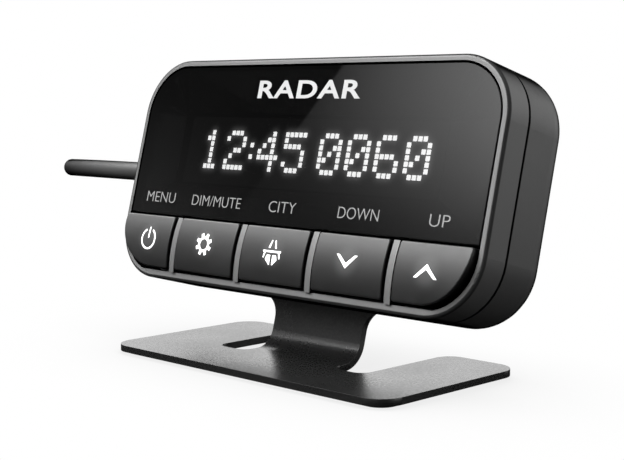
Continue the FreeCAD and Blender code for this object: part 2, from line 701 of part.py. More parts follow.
def make_cover():
    cover = new_body("rear_cover")
    sketch = face_sketch(cover, "cover_outline", COVER_FRONT)
    head_outline(sketch, 0)
    shell = pad_in(cover, sketch, size.head_deep - COVER_FRONT, "cover_pad")
    shell = fillet(cover, shell, size.rear_round, at_depth(size.head_deep), "rear_edge")
    chamfer(cover, shell, size.seam_bevel, at_depth(COVER_FRONT), "seam_edge")
    # the cavity, narrower in its deepest part to follow the rounded rear edge
    sketch = face_sketch(cover, "cavity", COVER_FRONT - OVERRUN)
    head_outline(sketch, size.wall)
    pocket(cover, sketch, size.step_depth - COVER_FRONT + OVERRUN, "cavity_cut")
    sketch = face_sketch(cover, "cavity_floor", size.step_depth - OVERRUN)
    head_outline(sketch, size.step_inset)
    pocket(cover, sketch, size.head_deep - size.back_wall - size.step_depth + OVERRUN,
           "cavity_floor_cut")
    # walls of the pocket that takes the stand's tab
    sketch = face_sketch(cover, "dock_block", size.dock_floor - size.dock_skin)
    half = size.dock_half + size.dock_wall
    rect(sketch, -half, half, -(HALF_HIGH - size.wall), size.dock_top + size.dock_wall)
    pad_in(cover, sketch, size.fill_depth - size.dock_floor + size.dock_skin, "dock_walls")
    sketch = face_sketch(cover, "insert_bosses", size.insert_boss_front)
    circles(sketch, INSERT_SPOTS, size.insert_boss)
    pad_in(cover, sketch, size.dock_floor - size.insert_boss_front, "insert_boss_pad")
    sketch = face_sketch(cover, "corner_bosses", size.boss_front)
    circles(sketch, SCREW_SPOTS, size.boss_round)
    pad_in(cover, sketch, size.fill_depth - size.boss_front, "corner_boss_pad")
    sketch = face_sketch(cover, "dock_opening", size.dock_floor)
    round_rect(sketch, -size.dock_half, size.dock_half, -size.head_high, size.dock_top,
               size.dock_corner)
    pocket(cover, sketch, THROUGH_HEAD, "dock_cut")
    # round holes: name, front depth, places, radius
    for sketch_name, cut_name, depth, spots, radius in (
            ("insert_holes", "insert_hole_cut",
             size.dock_floor - size.insert_long - size.insert_hole_gap,
             INSERT_SPOTS, size.insert_hole),
            ("screw_seats", "screw_seat_cut", size.seat_depth, SCREW_SPOTS, size.seat_round),
            ("screw_clearance", "screw_clearance_cut", size.boss_front - OVERRUN,
             SCREW_SPOTS, size.screw_hole)):
        sketch = face_sketch(cover, sketch_name, depth)
        circles(sketch, spots, radius)
        pocket(cover, sketch, THROUGH_HEAD, cut_name)
    # ring that reaches forward inside the front housing
    sketch = face_sketch(cover, "lip_ring", size.lip_front)
    head_outline(sketch, size.lip_outer)
    head_outline(sketch, size.lip_inner)
    pad_in(cover, sketch, size.lip_end - size.lip_front, "lip_pad")
    # cable hole through the left wall
    sketch = side_sketch(cover, "cable_hole", -HALF_WIDE - 3)
    circle(sketch, size.cable_hole_depth, size.wire_v, size.cable_hole)
    pocket(cover, sketch, 8, "cable_hole_cut", reverse=True)
    sketch = face_sketch(cover, "speaker_slot", size.head_deep - 4)
    for k, shrink in enumerate(SLOT_SHRINK):
        z = size.speaker_v + (k - 2) * size.slot_pitch
        half = size.slot_long * 0.5 - shrink
        round_rect(sketch, size.speaker_x - half, size.speaker_x + half,
                   z - size.slot_wide * 0.5, z + size.slot_wide * 0.5, size.slot_wide * 0.49)
    pocket(cover, sketch, THROUGH_FRONT, "speaker_slot_cut")


# ---- display module ---------------------------------------------------------
def make_panel():
    panel = new_body("display_panel")
    sketch = face_sketch(panel, "display_panel_outline", size.panel_front)
    rect(sketch, -size.panel_half, size.panel_half, -size.panel_low, size.panel_top)
    pad_in(panel, sketch, size.panel_thick, "display_panel_pad")


def make_carrier():
    """Frame that holds the panel in front and is hollow behind."""
    carrier = new_body("display_carrier")
    half, low, top = size.carrier_half, size.carrier_low, size.carrier_top
    sketch = face_sketch(carrier, "carrier_outline", size.panel_front)
    round_rect(sketch, -half, half, -low, top, size.carrier_corner)
    pad_in(carrier, sketch, size.board_front - size.panel_front - size.carrier_gap,
           "carrier_pad")
    seat_floor = PANEL_BACK + size.carrier_gap
    sketch = face_sketch(carrier, "panel_seat", 0)
    rect(sketch, -size.panel_half - size.panel_gap, size.panel_half + size.panel_gap,
         -size.panel_low - size.panel_gap, size.panel_top + size.panel_gap)
    pocket(carrier, sketch, seat_floor, "panel_seat_cut")
    sketch = face_sketch(carrier, "carrier_back", seat_floor + size.carrier_web)
    wall = size.carrier_wall
    rect(sketch, -half + wall, half - wall, -low + wall, top - wall)
    pocket(carrier, sketch, THROUGH_FRONT, "carrier_back_cut")
    sketch = face_sketch(carrier, "flex_notch", 0)
    rect(sketch, -size.flex_notch_half, size.flex_notch_half, -low - 3,
         -size.panel_low + size.flex_notch_lap)
    pocket(carrier, sketch, seat_floor, "flex_notch_cut")


def make_flex():
    """Thin strip that drops from the panel's lower edge and bends back to its socket."""
    flex = new_body("display_flex")
    sketch = side_sketch(flex, "flex_path", -size.flex_half)
    top = -size.panel_low - size.flex_gap
    top_z, run_z = top.value, -size.flex_low.value
    near, end, thick = size.flex_front.value, size.flex_end.value, size.flex_thick.value
    radius = size.flex_bend.value
    bend_y, bend_z = near + radius, run_z + radius
    sketch.addGeometry([
        line(near, top_z, near, bend_z), arc(bend_y, bend_z, radius, 180, 270),
        line(bend_y, run_z, end, run_z), line(end, run_z, end, run_z + thick),
        line(end, run_z + thick, bend_y, run_z + thick),
        arc(bend_y, bend_z, radius - thick, 180, 270),
        line(near + thick, bend_z, near + thick, top_z),
        line(near + thick, top_z, near, top_z)], False)
    join_bent_strip(sketch, size.flex_bend, size.flex_bend - size.flex_thick)
    constrain(sketch, "Vertical", 0)
    constrain(sketch, "Horizontal", 2)
    constrain(sketch, "Vertical", 3)
    constrain(sketch, "Horizontal", 7)
    at_x(sketch, 0, 1, size.flex_front)
    at_y(sketch, 0, 1, top)
    at_x(sketch, 3, 1, size.flex_end)
    at_y(sketch, 3, 1, -size.flex_low)
    pad(flex, sketch, size.flex_half * 2, "flex_pad")


def make_flex_socket():
    socket = new_body("flex_connector")
    sketch = face_sketch(socket, "socket_outline", size.socket_front)
    rect(sketch, -size.socket_half, size.socket_half, -size.socket_low, -size.socket_top)
    pad_in(socket, sketch, size.board_front - size.socket_front, "socket_pad")


# ---- main board and what it carries -----------------------------------------
def make_board():
    board = new_body("main_board")
    sketch = face_sketch(board, "board_outline", size.board_front)
    head_outline(sketch, size.board_inset)
    pad_in(board, sketch, size.board_thick, "board_pad")
    sketch = face_sketch(board, "board_post_holes", 0)
    circles(sketch, SCREW_SPOTS, size.board_hole)
    pocket(board, sketch, THROUGH_HEAD, "board_post_hole_cut")


def make_switches():
    switches = new_body("switch_bodies")
    sketch = face_sketch(switches, "switch_outlines", size.board_front - size.switch_high)
    for x in SWITCH_X:
        square_at(sketch, x, -size.switch_v, size.switch_half)
    pad_in(switches, sketch, size.switch_high, "switch_pad")
    sketch = face_sketch(switches, "switch_bores", 0)
    circles(sketch, [(x, -size.switch_v) for x in SWITCH_X], size.stem_hole)
    pocket(switches, sketch, size.board_front - size.switch_floor, "switch_bore_cut")


def make_lamps():
    lamps = new_body("key_lamps")
    sketch = face_sketch(lamps, "lamp_outlines", size.board_front - size.lamp_high)
    for x in SWITCH_X:
        rect(sketch, x - size.lamp_half, x + size.lamp_half,
             -size.lamp_v - size.lamp_half_v, -size.lamp_v + size.lamp_half_v)
    pad_in(lamps, sketch, size.lamp_high, "lamp_pad")


# Flat parts on the board's rear side: label, centre x and z, width, height, depth
CHIPS = [
    ("processor_chip", -3.5, 8.6, 7.0, 7.0, 1.0),
    ("memory_chip", 5.2, 8.8, 5.2, 4.0, 0.9),
    ("voltage_regulator", -17.6, -5.0, 3.0, 1.7, 1.2),
    ("clock_crystal", -11.0, 8.6, 3.2, 2.5, 0.8),
]


def make_chip(label, x, z, wide, high, deep):
    box = doc.addObject("Part::Box", label)
    box.Label = label
    drive(box, "Length", wide)
    drive(box, "Width", deep)
    drive(box, "Height", high)
    corner = Vector(x - wide / 2, BOARD_BACK.value, z - high / 2)
    box.Placement = frame_placement(HEAD) * FreeCAD.Placement(corner, FreeCAD.Rotation())
    pieces.append(box)


def make_coil():
    """Block with a ring groove in its rear face."""
    coil = new_body("power_inductor")
    x, z, half = -size.coil_x, -size.coil_low, size.coil_half
    sketch = face_sketch(coil, "coil_outline", BOARD_BACK)
    round_rect(sketch, x - half, x + half, z - half, z + half, size.coil_corner)
    pad_in(coil, sketch, size.coil_high, "coil_pad")
    sketch = face_sketch(coil, "coil_ring", BOARD_BACK + size.ring_floor)
    circle(sketch, x, z, size.ring_outer)
    circle(sketch, x, z, size.ring_inner)
    pocket(coil, sketch, 3, "coil_ring_cut")


def make_can():
    """Round can on a square foot."""
    can = new_body("bulk_capacitor")
    x, z = -size.can_x, -size.can_low
    sketch = face_sketch(can, "can_base", BOARD_BACK)
    square_at(sketch, x, z, size.can_half)
    pad_in(can, sketch, size.can_foot, "can_base_pad")
    foot_back = BOARD_BACK + size.can_foot
    sketch = face_sketch(can, "can_outline", foot_back)
    circle(sketch, x, z, size.can_round)
    last = pad_in(can, sketch, size.can_high, "can_pad")
    fillet(can, last, size.can_edge_round, at_depth(foot_back + size.can_high), "can_edge")


def make_header():
    """Cable socket on the board, open to the left."""
    header = new_body("cable_header")
    sketch = face_sketch(header, "header_outline", BOARD_BACK)
    rect(sketch, -size.header_left, -size.header_right,
         size.wire_v - size.header_half, size.wire_v + size.header_half)
    pad_in(header, sketch, size.header_deep, "header_pad")
    sketch = side_sketch(header, "header_cavity", -size.header_left - OVERRUN)
    rect(sketch, BOARD_BACK + size.socket_near, BOARD_BACK + size.socket_far,
         size.wire_v - size.socket_half_v, size.wire_v + size.socket_half_v)
    pocket(header, sketch, size.header_left - size.socket_right + OVERRUN,
           "header_cavity_cut", reverse=True)


def make_plug():
    plug = new_body("cable_plug")
    sketch = side_sketch(plug, "plug_outline", -size.plug_left)
    half = size.socket_half_v - size.plug_gap
    rect(sketch, BOARD_BACK + size.socket_near + size.plug_gap,
         BOARD_BACK + size.socket_far - size.plug_gap, size.wire_v - half, size.wire_v + half)
    pad(plug, sketch, size.plug_long, "plug_pad")


# ---- speaker ----------------------------------------------------------------
def turned_in_speaker(label, points):
    """A round piece on the speaker's axis, which runs into the head.

    Points are (depth, radius) pairs of its closed half profile.
    """
    body = new_body(label)
    sketch = side_sketch(body, label + "_profile", size.speaker_x)
    drive(sketch, "AttachmentOffset.Base.y", size.speaker_v)
    polygon(sketch, points)
    revolve(body, sketch)


def make_speaker():
    back, face = size.speaker_back, size.speaker_face
    outer, magnet = size.speaker_round, size.magnet_round
    gasket_end = size.speaker_gasket_end
    turned_in_speaker("speaker_basket", [
        (back, magnet + 0.1), (back, outer - 0.8), (back + 1.6, outer), (face, outer),
        (face, outer - 0.8), (back + 2.4, outer - 0.8), (back + 1.4, outer - 2.0),
        (back + 1.4, magnet + 0.1)])
    turned_in_speaker("speaker_magnet", [
        (back, 0), (back, magnet), (back + 1.7, magnet), (back + 1.7, 0)])
    turned_in_speaker("speaker_cone", [
        (back + 2.6, 0), (back + 2.6, 1.4), (back + 2.1, 2.6), (back + 3.0, 4.6),
        (back + 2.7, 5.6), (back + 3.0, outer - 0.85), (back + 3.15, outer - 0.85),
        (back + 2.85, 5.6), (back + 3.15, 4.6), (back + 2.25, 2.7), (back + 2.9, 1.2),
        (back + 3.0, 0)])
    turned_in_speaker("speaker_gasket", [
        (face, outer - 1.6), (face, outer - 0.1), (gasket_end, outer - 0.1),
        (gasket_end, outer - 1.6)])
    contacts = new_body("speaker_contacts")
    sketch = face_sketch(contacts, "contact_outlines", BOARD_BACK)
    for side in (-1, 1):
        square_at(sketch, size.speaker_x + side * size.contact_x, size.speaker_v,
                  size.contact_half)
    pad_in(contacts, sketch, back - BOARD_BACK, "contact_pad")


# ---- keys -------------------------------------------------------------------
def make_keys():
    """Five keys between the head's rim and the four ribs, from left to right."""
    bay = HALF_WIDE - size.rim - size.key_side_gap       # outer side of the outer keys
    edge = size.rib_wide * 0.5 + size.key_side_gap       # a key's side from a rib's middle
    for number, name in enumerate(("power", "settings", "road", "down", "up")):
        left = -bay if number == 0 else (number - 2.5) * size.rib_pitch + edge
        right = bay if number == 4 else (number - 1.5) * size.rib_pitch - edge
        # the side on which the lower corner follows the head's outline, if any
        side = {0: -1, 4: 1}.get(number, 0)
        hollow = (left + (size.outer_wall if side < 0 else size.key_wall),
                  right - (size.outer_wall if side > 0 else size.key_wall),
                  -size.key_low + (size.outer_low_wall if side else size.low_wall),
                  -size.key_top - size.key_wall)
        make_keycap(name, left, right, side, hollow)
        make_light_guide(name, SWITCH_X[number], hollow)
        make_stem(name, SWITCH_X[number])


def make_keycap(name, left, right, side, hollow):
    cap = new_body(name + "_keycap")
    low, high = -size.key_low, -size.key_top
    sketch = side_sketch(cap, name + "_key_profile", left)
    crowned_profile(sketch, size.key_crown, [
        (-size.key_rise, low), (size.key_back, low), (size.key_back, high),
        (-size.key_rise, high)])
    pad(cap, sketch, right - left, name + "_key_pad")
    sketch = face_sketch(cap, name + "_flange", size.key_back)
    rect(sketch, left - (0 if side < 0 else size.flange_side),
         right + (0 if side > 0 else size.flange_side), low, high + size.flange_top)
    last = pad_in(cap, sketch, size.flange_thick, name + "_flange_pad")
    if side:
        outer_x = (right if side > 0 else left).value
        last = fillet(cap, last, size.outer_corner,
                      lambda mid, ends: abs(mid.x - outer_x) < 0.001
                      and abs(mid.z - low.value) < 0.001
                      and abs(ends[0].y - ends[1].y) > 0.3, name + "_outer_corner")

    def is_front_corner(mid, ends):
        """Edges that run inward from the front face at the key's own corners."""
        return (len(ends) == 2 and abs(ends[0].y - ends[1].y) > 1.0
                and min(ends[0].y, ends[1].y) < 0
                and (abs(abs(mid.z) - size.key_low.value) < 0.001
                     or abs(abs(mid.z) - size.key_top.value) < 0.001)
                and min(abs(mid.x - left.value), abs(mid.x - right.value)) < 0.001)

    last = fillet(cap, last, size.key_corner, is_front_corner, name + "_corners")
    fillet(cap, last, size.key_edge,
           lambda mid, ends: mid.y < -0.5 and all(point.y < -0.5 for point in ends),
           name + "_front_edge")
    sketch = face_sketch(cap, name + "_hollow", -size.key_skin)
    rect(sketch, *hollow)
    pocket(cap, sketch, THROUGH_HEAD, name + "_hollow_cut")


def make_light_guide(name, switch_x, hollow):
    """Block that fills a keycap's hollow, with a round boss over the switch stem."""
    guide = new_body(name + "_light_guide")
    left, right, low, high = hollow
    gap = size.guide_gap
    sketch = face_sketch(guide, name + "_guide_outline", -size.key_skin)
    rect(sketch, left + gap, right - gap, low + gap, high - gap)
    pad_in(guide, sketch, size.guide_back + size.key_skin, name + "_guide_pad")
    boss_front = size.guide_back - size.guide_boss_lap
    sketch = face_sketch(guide, name + "_guide_boss", boss_front)
    circle(sketch, switch_x, -size.switch_v, size.stem_round + size.guide_boss_extra)
    pad_in(guide, sketch, size.stem_front - boss_front, name + "_guide_boss_pad")


def make_stem(name, switch_x):
    stem = new_body(name + "_switch_stem")
    sketch = face_sketch(stem, name + "_stem_circle", size.stem_front)
    circle(sketch, switch_x, -size.switch_v, size.stem_round)
    last = pad_in(stem, sketch, size.stem_end - size.stem_front, name + "_stem_pad")
    chamfer(stem, last, size.stem_bevel, at_depth(size.stem_end), name + "_stem_tip")


# ---- fasteners --------------------------------------------------------------
def make_screws(label, spots, under_head, cap_round, cap_high, shank_round, shank_long):
    """Cross-drive pan-head screws driven from the rear of the head, as one group."""
    body = new_body(label)
    cap_end = under_head + cap_high
    sketch = face_sketch(body, label + "_caps", under_head)
    circles(sketch, spots, cap_round)
    last = pad_in(body, sketch, cap_high, label + "_cap_pad")
    fillet(body, last, size.cap_edge, at_depth(cap_end), label + "_cap_round")
    sketch = face_sketch(body, label + "_shanks", under_head - shank_long)
    circles(sketch, spots, shank_round)
    pad_in(body, sketch, shank_long, label + "_shank_pad")
    for slot, half_x, half_z in (("across", size.drive_long, size.drive_slot),
                                 ("upright", size.drive_slot, size.drive_long)):
        sketch = face_sketch(body, label + "_drive_" + slot, cap_end - size.drive_deep)
        for x, z in spots:
            rect(sketch, x - half_x, x + half_x, z - half_z, z + half_z)
        pocket(body, sketch, 3, label + "_drive_cut_" + slot)


def make_inserts():
    inserts = new_body("threaded_inserts")
    sketch = face_sketch(inserts, "insert_rings", size.dock_floor - size.insert_long)
    for x, z in INSERT_SPOTS:
        circle(sketch, x, z, size.insert_round)
        circle(sketch, x, z, size.insert_bore)
    pad_in(inserts, sketch, size.insert_long - size.insert_sink, "insert_pad")


# ---- cable ------------------------------------------------------------------
def make_jacket():
    """Tube that leaves the head to the left and then sweeps away from the user."""
    jacket = new_body("cable_jacket", CABLE)
    path = flat_sketch(jacket, "cable_path", 0)
    start, bend = -size.cable_in.value, -size.cable_straight.value
    sweep, angle = size.cable_sweep.value, size.cable_arc.value
    path.addGeometry([line(start, 0, bend, 0), arc(bend, sweep, sweep, -90 - angle, -90)], False)
    join(path, "Tangent", [(0, 2, 1, 2)])
    constrain(path, "Horizontal", 0)
    at_x(path, 0, 1, -size.cable_in)
    constrain(path, "PointOnObject", 0, 1, -1)
    at_x(path, 0, 2, -size.cable_straight)
    set_radius(path, 1, size.cable_sweep)
    at_x(path, 1, 1, bend - sweep * math.sin(math.radians(angle)))
    section = side_sketch(jacket, "cable_section", -size.cable_in)
    circle(section, 0, 0, size.cable_round)
    circle(section, 0, 0, size.cable_core)
    pipe = jacket.newObject("PartDesign::AdditivePipe", "cable_pipe")
    pipe.Profile = section
    pipe.Spine = path


def make_grommet():
    """Sleeve round the cable: a flange inside the head and a stepped outer part."""
    grommet = new_body("cable_grommet", CABLE)
    sketch = flat_sketch(grommet, "grommet_profile", 0)
    bore = size.cable_round + size.grommet_gap
    flange_end = -size.grommet_in - size.flange_long
    # x along the cable, radius
    polygon(sketch, [
        (-size.grommet_in, bore), (-size.grommet_in, size.grommet_flange),
        (flange_end, size.grommet_flange), (flange_end, size.grommet_round),
        (-37.2, size.grommet_round), (-37.4, 2.6), (-39.0, 2.6), (-39.6, 2.25),
        (-40.4, 2.25), (-41.0, 2.45), (-41.8, 2.45), (-42.4, 2.1), (-43.2, 2.1),
        (-43.7, 2.25), (-44.4, 2.25), (-size.grommet_out, size.grommet_tip),
        (-size.grommet_out, bore)])
    revolve(grommet, sketch)


def make_conductor(number, shift_y, shift_z):
    """One conductor, from the plug into the jacket and round its bend."""
    head_spot, cable_spot = frame_placement(HEAD), frame_placement(CABLE)
    start_x, bend_x = -size.cable_in.value, -size.cable_straight.value
    sweep = size.cable_sweep.value
    middle = (size.socket_near + size.socket_far) * 0.5
    plug_end = head_spot.multVec(Vector(
        -(size.plug_left + size.wire_gap).value, (BOARD_BACK + middle).value,
        (size.wire_v + (number - 1.5) * size.wire_pitch).value))
    jacket_in = cable_spot.multVec(Vector(start_x, shift_y, shift_z))
    bend_start = cable_spot.multVec(Vector(bend_x, shift_y, shift_z))
    fan = Part.BSplineCurve()
    fan.interpolate(Points=[plug_end, jacket_in], InitialTangent=Vector(-5, 0, 0),
                    FinalTangent=Vector(-5, 0, 0))
    radius = sweep - shift_y
    from_angle = math.radians(-90)
    to_angle = math.radians(-90 - size.cable_arc.value)

    def on_bend(angle):
        return cable_spot.multVec(Vector(bend_x + radius * math.cos(angle),
                                         sweep + radius * math.sin(angle), shift_z))

    bend = Part.Arc(bend_start, on_bend((from_angle + to_angle) / 2), on_bend(to_angle))
    track = Part.Wire([fan.toShape(), Part.LineSegment(jacket_in, bend_start).toShape(),
                       bend.toShape()])
    ring = Part.Circle(plug_end, Vector(-1, 0, 0), size.conductor_round.value)
    return track.makePipeShell([Part.Wire([ring.toShape()])], True, False)


def make_wires():
    shift = size.conductor_shift.value
    places = [(-shift, -shift), (shift, -shift), (-shift, shift), (shift, shift)]
    wires = doc.addObject("Part::Feature", "cable_wires")
    wires.Label = "cable_wires"
    wires.Shape = Part.makeCompound([make_conductor(k, y, z)
                                     for k, (y, z) in enumerate(places)])
    pieces.append(wires)


# ---- build ------------------------------------------------------------------
make_stand()
make_adhesive()
make_front()
make_lens()
make_lens_gasket()
make_cover()
make_panel()
make_carrier()
make_flex()
make_flex_socket()
make_board()
make_switches()
make_lamps()
for chip in CHIPS:
    make_chip(*chip)
make_coil()
make_can()
make_header()
make_plug()
make_speaker()
make_keys()
make_screws("housing_screws", SCREW_SPOTS, under_head=size.seat_depth,
            cap_round=size.head_screw_round, cap_high=size.head_screw_cap,
            shank_round=size.head_screw_shank, shank_long=size.head_screw_long)
make_screws("bracket_screws", INSERT_SPOTS, under_head=size.dock_floor + size.sheet_thick,
            cap_round=size.stand_screw_round, cap_high=size.stand_screw_cap,
            shank_round=size.insert_bore - size.stand_screw_gap,
            shank_long=size.stand_screw_long)
make_inserts()
make_jacket()
make_grommet()
make_wires()

# ---- write out --------------------------------------------------------------
doc.recompute()
bad = [obj.Label for obj in doc.Objects
       if any(state in ("Invalid", "Error") for state in obj.State)]
if bad:
    raise RuntimeError("features failed: " + ", ".join(bad))
os.makedirs("parts", exist_ok=True)
for piece in pieces:
    shape = piece.Shape
    if shape.isNull() or not shape.isValid() or not shape.Solids:
        raise RuntimeError("bad shape: " + piece.Label)
    shape.exportStep("parts/%s.step" % piece.Label)
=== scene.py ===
"""Dash-top unit: a leaning head with a smoked display lens above five lit keys, on a bracket.

The CAD pieces come from the frame, in metres with +Z up; the face looks towards -Y and leans.
This script adds the finishes, the lit display, the print, the key pictograms, floor and light.
Places on the face are in mm: across to the right, up the face, and depth into the head.
"""

import json
import math

import bmesh
import bpy
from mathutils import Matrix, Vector
from mathutils.bvhtree import BVHTree


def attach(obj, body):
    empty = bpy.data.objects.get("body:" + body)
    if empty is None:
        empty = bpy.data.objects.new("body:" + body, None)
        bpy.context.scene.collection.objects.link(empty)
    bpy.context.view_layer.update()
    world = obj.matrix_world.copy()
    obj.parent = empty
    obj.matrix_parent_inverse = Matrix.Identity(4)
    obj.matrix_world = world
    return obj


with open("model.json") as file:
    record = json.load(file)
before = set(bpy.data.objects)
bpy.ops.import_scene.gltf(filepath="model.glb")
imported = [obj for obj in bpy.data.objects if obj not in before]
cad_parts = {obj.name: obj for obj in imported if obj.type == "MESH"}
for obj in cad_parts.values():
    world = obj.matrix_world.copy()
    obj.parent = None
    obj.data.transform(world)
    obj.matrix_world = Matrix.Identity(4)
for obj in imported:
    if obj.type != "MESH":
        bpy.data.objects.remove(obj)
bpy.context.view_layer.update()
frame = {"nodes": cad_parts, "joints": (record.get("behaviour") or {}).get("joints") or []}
NODES = frame["nodes"]
HEAD = "head_and_stand"
MM = 0.001

# ---------------------------------------------------------------- driving sizes, in mm
LENS_FRONT, LENS_LOW = 0.05, -7.4       # depth of the lens's front and height of its lower edge
HEAD_HALF_WIDTH, HEAD_HALF_HEIGHT = 36.2, 17.5
HEAD_CORNER = 8.7
SEAM_DEPTH = 4.6                        # where housing and rear cover meet
ICON_UP = -11.5
ICON_ACROSS = {"power": -28.0, "settings": -14.8, "road": 0.0, "down": 14.4, "up": 28.3}

# ---------------------------------------------------------------- the face's axes and origin
# INWARD follows the keys' travel into the head, UPWARD climbs the leaning face.
INWARD = Vector(frame["joints"][0]["axis"]).normalized()
RIGHT = Vector((1.0, 0.0, 0.0))
UPWARD = RIGHT.cross(INWARD).normalized()
if UPWARD.z < 0:
    UPWARD = -UPWARD


def lowest(node, axis, origin=Vector()):
    """Least distance of a node's vertices from the origin along an axis, in metres."""
    return min((vert.co - origin).dot(axis) for vert in NODES[node].data.vertices)


FACE = (INWARD * (lowest("display_lens", INWARD) - LENS_FRONT * MM)
        + UPWARD * (lowest("display_lens", UPWARD) - LENS_LOW * MM))
PANEL_DEPTH = lowest("display_panel", INWARD, FACE) / MM


def at(across, up, depth=0.0):
    """A point on the face's axes, in mm, as a place in the frame."""
    return FACE + (RIGHT * across + UPWARD * up + INWARD * depth) * MM


# ---------------------------------------------------------------- node trees
NOISE_BAND = (0.3, 0.7)     # the range most of a noise's values fall in


def grey(value):
    return (value, value, value, 1.0)


class Tree:
    """Builds the nodes of a material or world. Methods that add a node return its output."""

    def __init__(self, owner):
        owner.use_nodes = True
        self.owner = owner
        self.tree = owner.node_tree
        self.tree.nodes.clear()

    def node(self, kind, out=0, inputs=None, **settings):
        made = self.tree.nodes.new("ShaderNode" + kind)
        for name, value in settings.items():
            setattr(made, name, value)
        for key, value in (inputs or {}).items():
            if isinstance(value, bpy.types.NodeSocket):
                self.tree.links.new(value, made.inputs[key])
            elif value is not None:
                made.inputs[key].default_value = value
        return made.outputs[out]

    def shader(self, kind, **sockets):
        return self.node(kind, inputs={k.replace("_", " "): v for k, v in sockets.items()})

    def principled(self, **sockets):
        return self.shader("BsdfPrincipled", **sockets)

    def mix_shader(self, factor, first, second):
        return self.node("MixShader", inputs={0: factor, 1: first, 2: second})

    def finish(self, shader, kind="Material"):
        output = self.tree.nodes.new("ShaderNodeOutput" + kind)
        self.tree.links.new(shader, output.inputs["Surface"])

    def math(self, operation, first, second=None):
        return self.node("Math", inputs={0: first, 1: second}, operation=operation)

    def plus(self, first, second):
        return self.math("ADD", first, second)

    def minus(self, first, second):
        return self.math("SUBTRACT", first, second)

    def times(self, first, *others):
        for other in others:
            first = self.math("MULTIPLY", first, other)
        return first

    def hypot(self, first, second):
        return self.math("SQRT", self.plus(self.times(first, first), self.times(second, second)))

    def ramp(self, value, over=NOISE_BAND, to=(0.0, 1.0), smooth=True):
        """Carries the range `over` to the range `to`, held at both ends."""
        inputs = {"Value": value, "From Min": over[0], "From Max": over[1],
                  "To Min": to[0], "To Max": to[1]}
        return self.node("MapRange", "Result", inputs, clamp=True,
                         interpolation_type="SMOOTHSTEP" if smooth else "LINEAR")

    def vector(self, operation, first, second=None, out="Vector"):
        return self.node("VectorMath", out, {0: first, 1: second}, operation=operation)

    def dot(self, first, second):
        return self.vector("DOT_PRODUCT", first, second, out="Value")

    def axes(self, vector):
        return self.node("SeparateXYZ", inputs={0: vector}).node.outputs[:]

    def noise(self, place, scale, detail=2.0, rough=0.5):
        inputs = {"Vector": place, "Scale": scale, "Detail": detail, "Roughness": rough}
        return self.node("TexNoise", "Fac", inputs)

    def cells(self, place, scale, feature="F1"):
        inputs = {"Vector": place, "Scale": scale}
        return self.node("TexVoronoi", "Distance", inputs, feature=feature)

    def mix(self, factor, first, second):
        return self.node("Mix", 2, {0: factor, 6: first, 7: second}, data_type="RGBA")

    def greys(self, factor, low, high):
        return self.mix(factor, grey(low), grey(high))

    def bump(self, height, distance, strength=1.0):
        """Relief of `distance` metres."""
        inputs = {"Strength": strength, "Distance": distance, "Height": height}
        return self.node("Bump", "Normal", inputs)

    def place(self):
        return self.node("TexCoord", "Object")

    def camera_ray(self):
        return self.node("LightPath", "Is Camera Ray")

    def turned_away(self, over):
        """1 where a surface faces the viewer, falling to 0 where it turns to a contour."""
        facing = self.node("LayerWeight", "Facing", {"Blend": 0.5})
        return self.ramp(facing, over=over, to=(1.0, 0.0))

    def normal_along(self, axis, normal="True Normal"):
        return self.dot(self.node("NewGeometry", normal), axis)

    def from_face(self, place):
        return self.vector("SUBTRACT", place, FACE)

    def along(self, offset, axis):
        """An offset's length along an axis, in mm."""
        return self.math("DIVIDE", self.dot(offset, axis), MM)


def material_tree(name):
    """The named material, emptied of nodes; made if the frame lacks it."""
    return Tree(bpy.data.materials.get(name) or bpy.data.materials.new(name))


# ---------------------------------------------------------------- finishes of the CAD nodes
def stand_paint():
    """Black paint with orange peel and faint pale flecks."""
    tree = material_tree("stand_paint")
    place = tree.place()
    peel = tree.noise(place, scale=3000.0, detail=1.0)
    broad = tree.noise(place, scale=60.0, detail=3.0, rough=0.6)
    fleck = tree.ramp(tree.cells(place, scale=5200.0), over=(0.0, 0.22), to=(1.0, 0.0))
    fleck_cover = 0.12
    colour = tree.greys(broad, low=0.0085, high=0.0125)
    tree.finish(tree.principled(
        Base_Color=tree.mix(tree.times(fleck, fleck_cover), colour, grey(0.10)),
        Roughness=tree.plus(tree.ramp(broad, to=(0.27, 0.31)), tree.ramp(peel, to=(-0.025, 0.025))),
        Normal=tree.bump(peel, distance=0.0072 * MM),
        Specular_IOR_Level=tree.ramp(peel, to=(0.55, 0.45))))


def inside_outline(tree, place):
    """1 within the front opening's rounded outline, 0 on the head's outer skin."""
    offset = tree.from_face(place)
    corner = HEAD_CORNER * MM

    def beyond(axis, half):
        """Distance past the start of the corner, in metres."""
        return tree.minus(tree.math("ABSOLUTE", tree.dot(offset, axis)), half * MM - corner)

    across = beyond(RIGHT, HEAD_HALF_WIDTH)
    up = beyond(UPWARD, HEAD_HALF_HEIGHT)
    outer = tree.hypot(tree.math("MAXIMUM", across, 0.0), tree.math("MAXIMUM", up, 0.0))
    inner = tree.math("MINIMUM", tree.math("MAXIMUM", across, up), 0.0)
    edge = tree.minus(tree.plus(outer, inner), corner)
    return tree.ramp(tree.math("DIVIDE", edge, MM), over=(-0.80, -0.60), to=(1.0, 0.0))


def painted_top_shade(tree):
    """Painted shade: the head's upper skin is made a deeper black than its sides."""
    return tree.ramp(tree.normal_along(UPWARD, "Normal"), over=(0.45, 0.92), to=(1.0, 0.30))


def seam_shade(tree, depth):
    """0 in the line between housing and rear cover, 1 away from it."""
    return tree.ramp(tree.math("ABSOLUTE", tree.minus(depth, SEAM_DEPTH)), over=(0.18, 0.30))


def head_depth(tree, place):
    return tree.along(tree.from_face(place), INWARD)


# painted shade: the head's skin is blackened where it turns away from the viewer
SKIN_CONTOUR_SHADE = (0.54, 0.86)     # range of turning over which the head's skin darkens


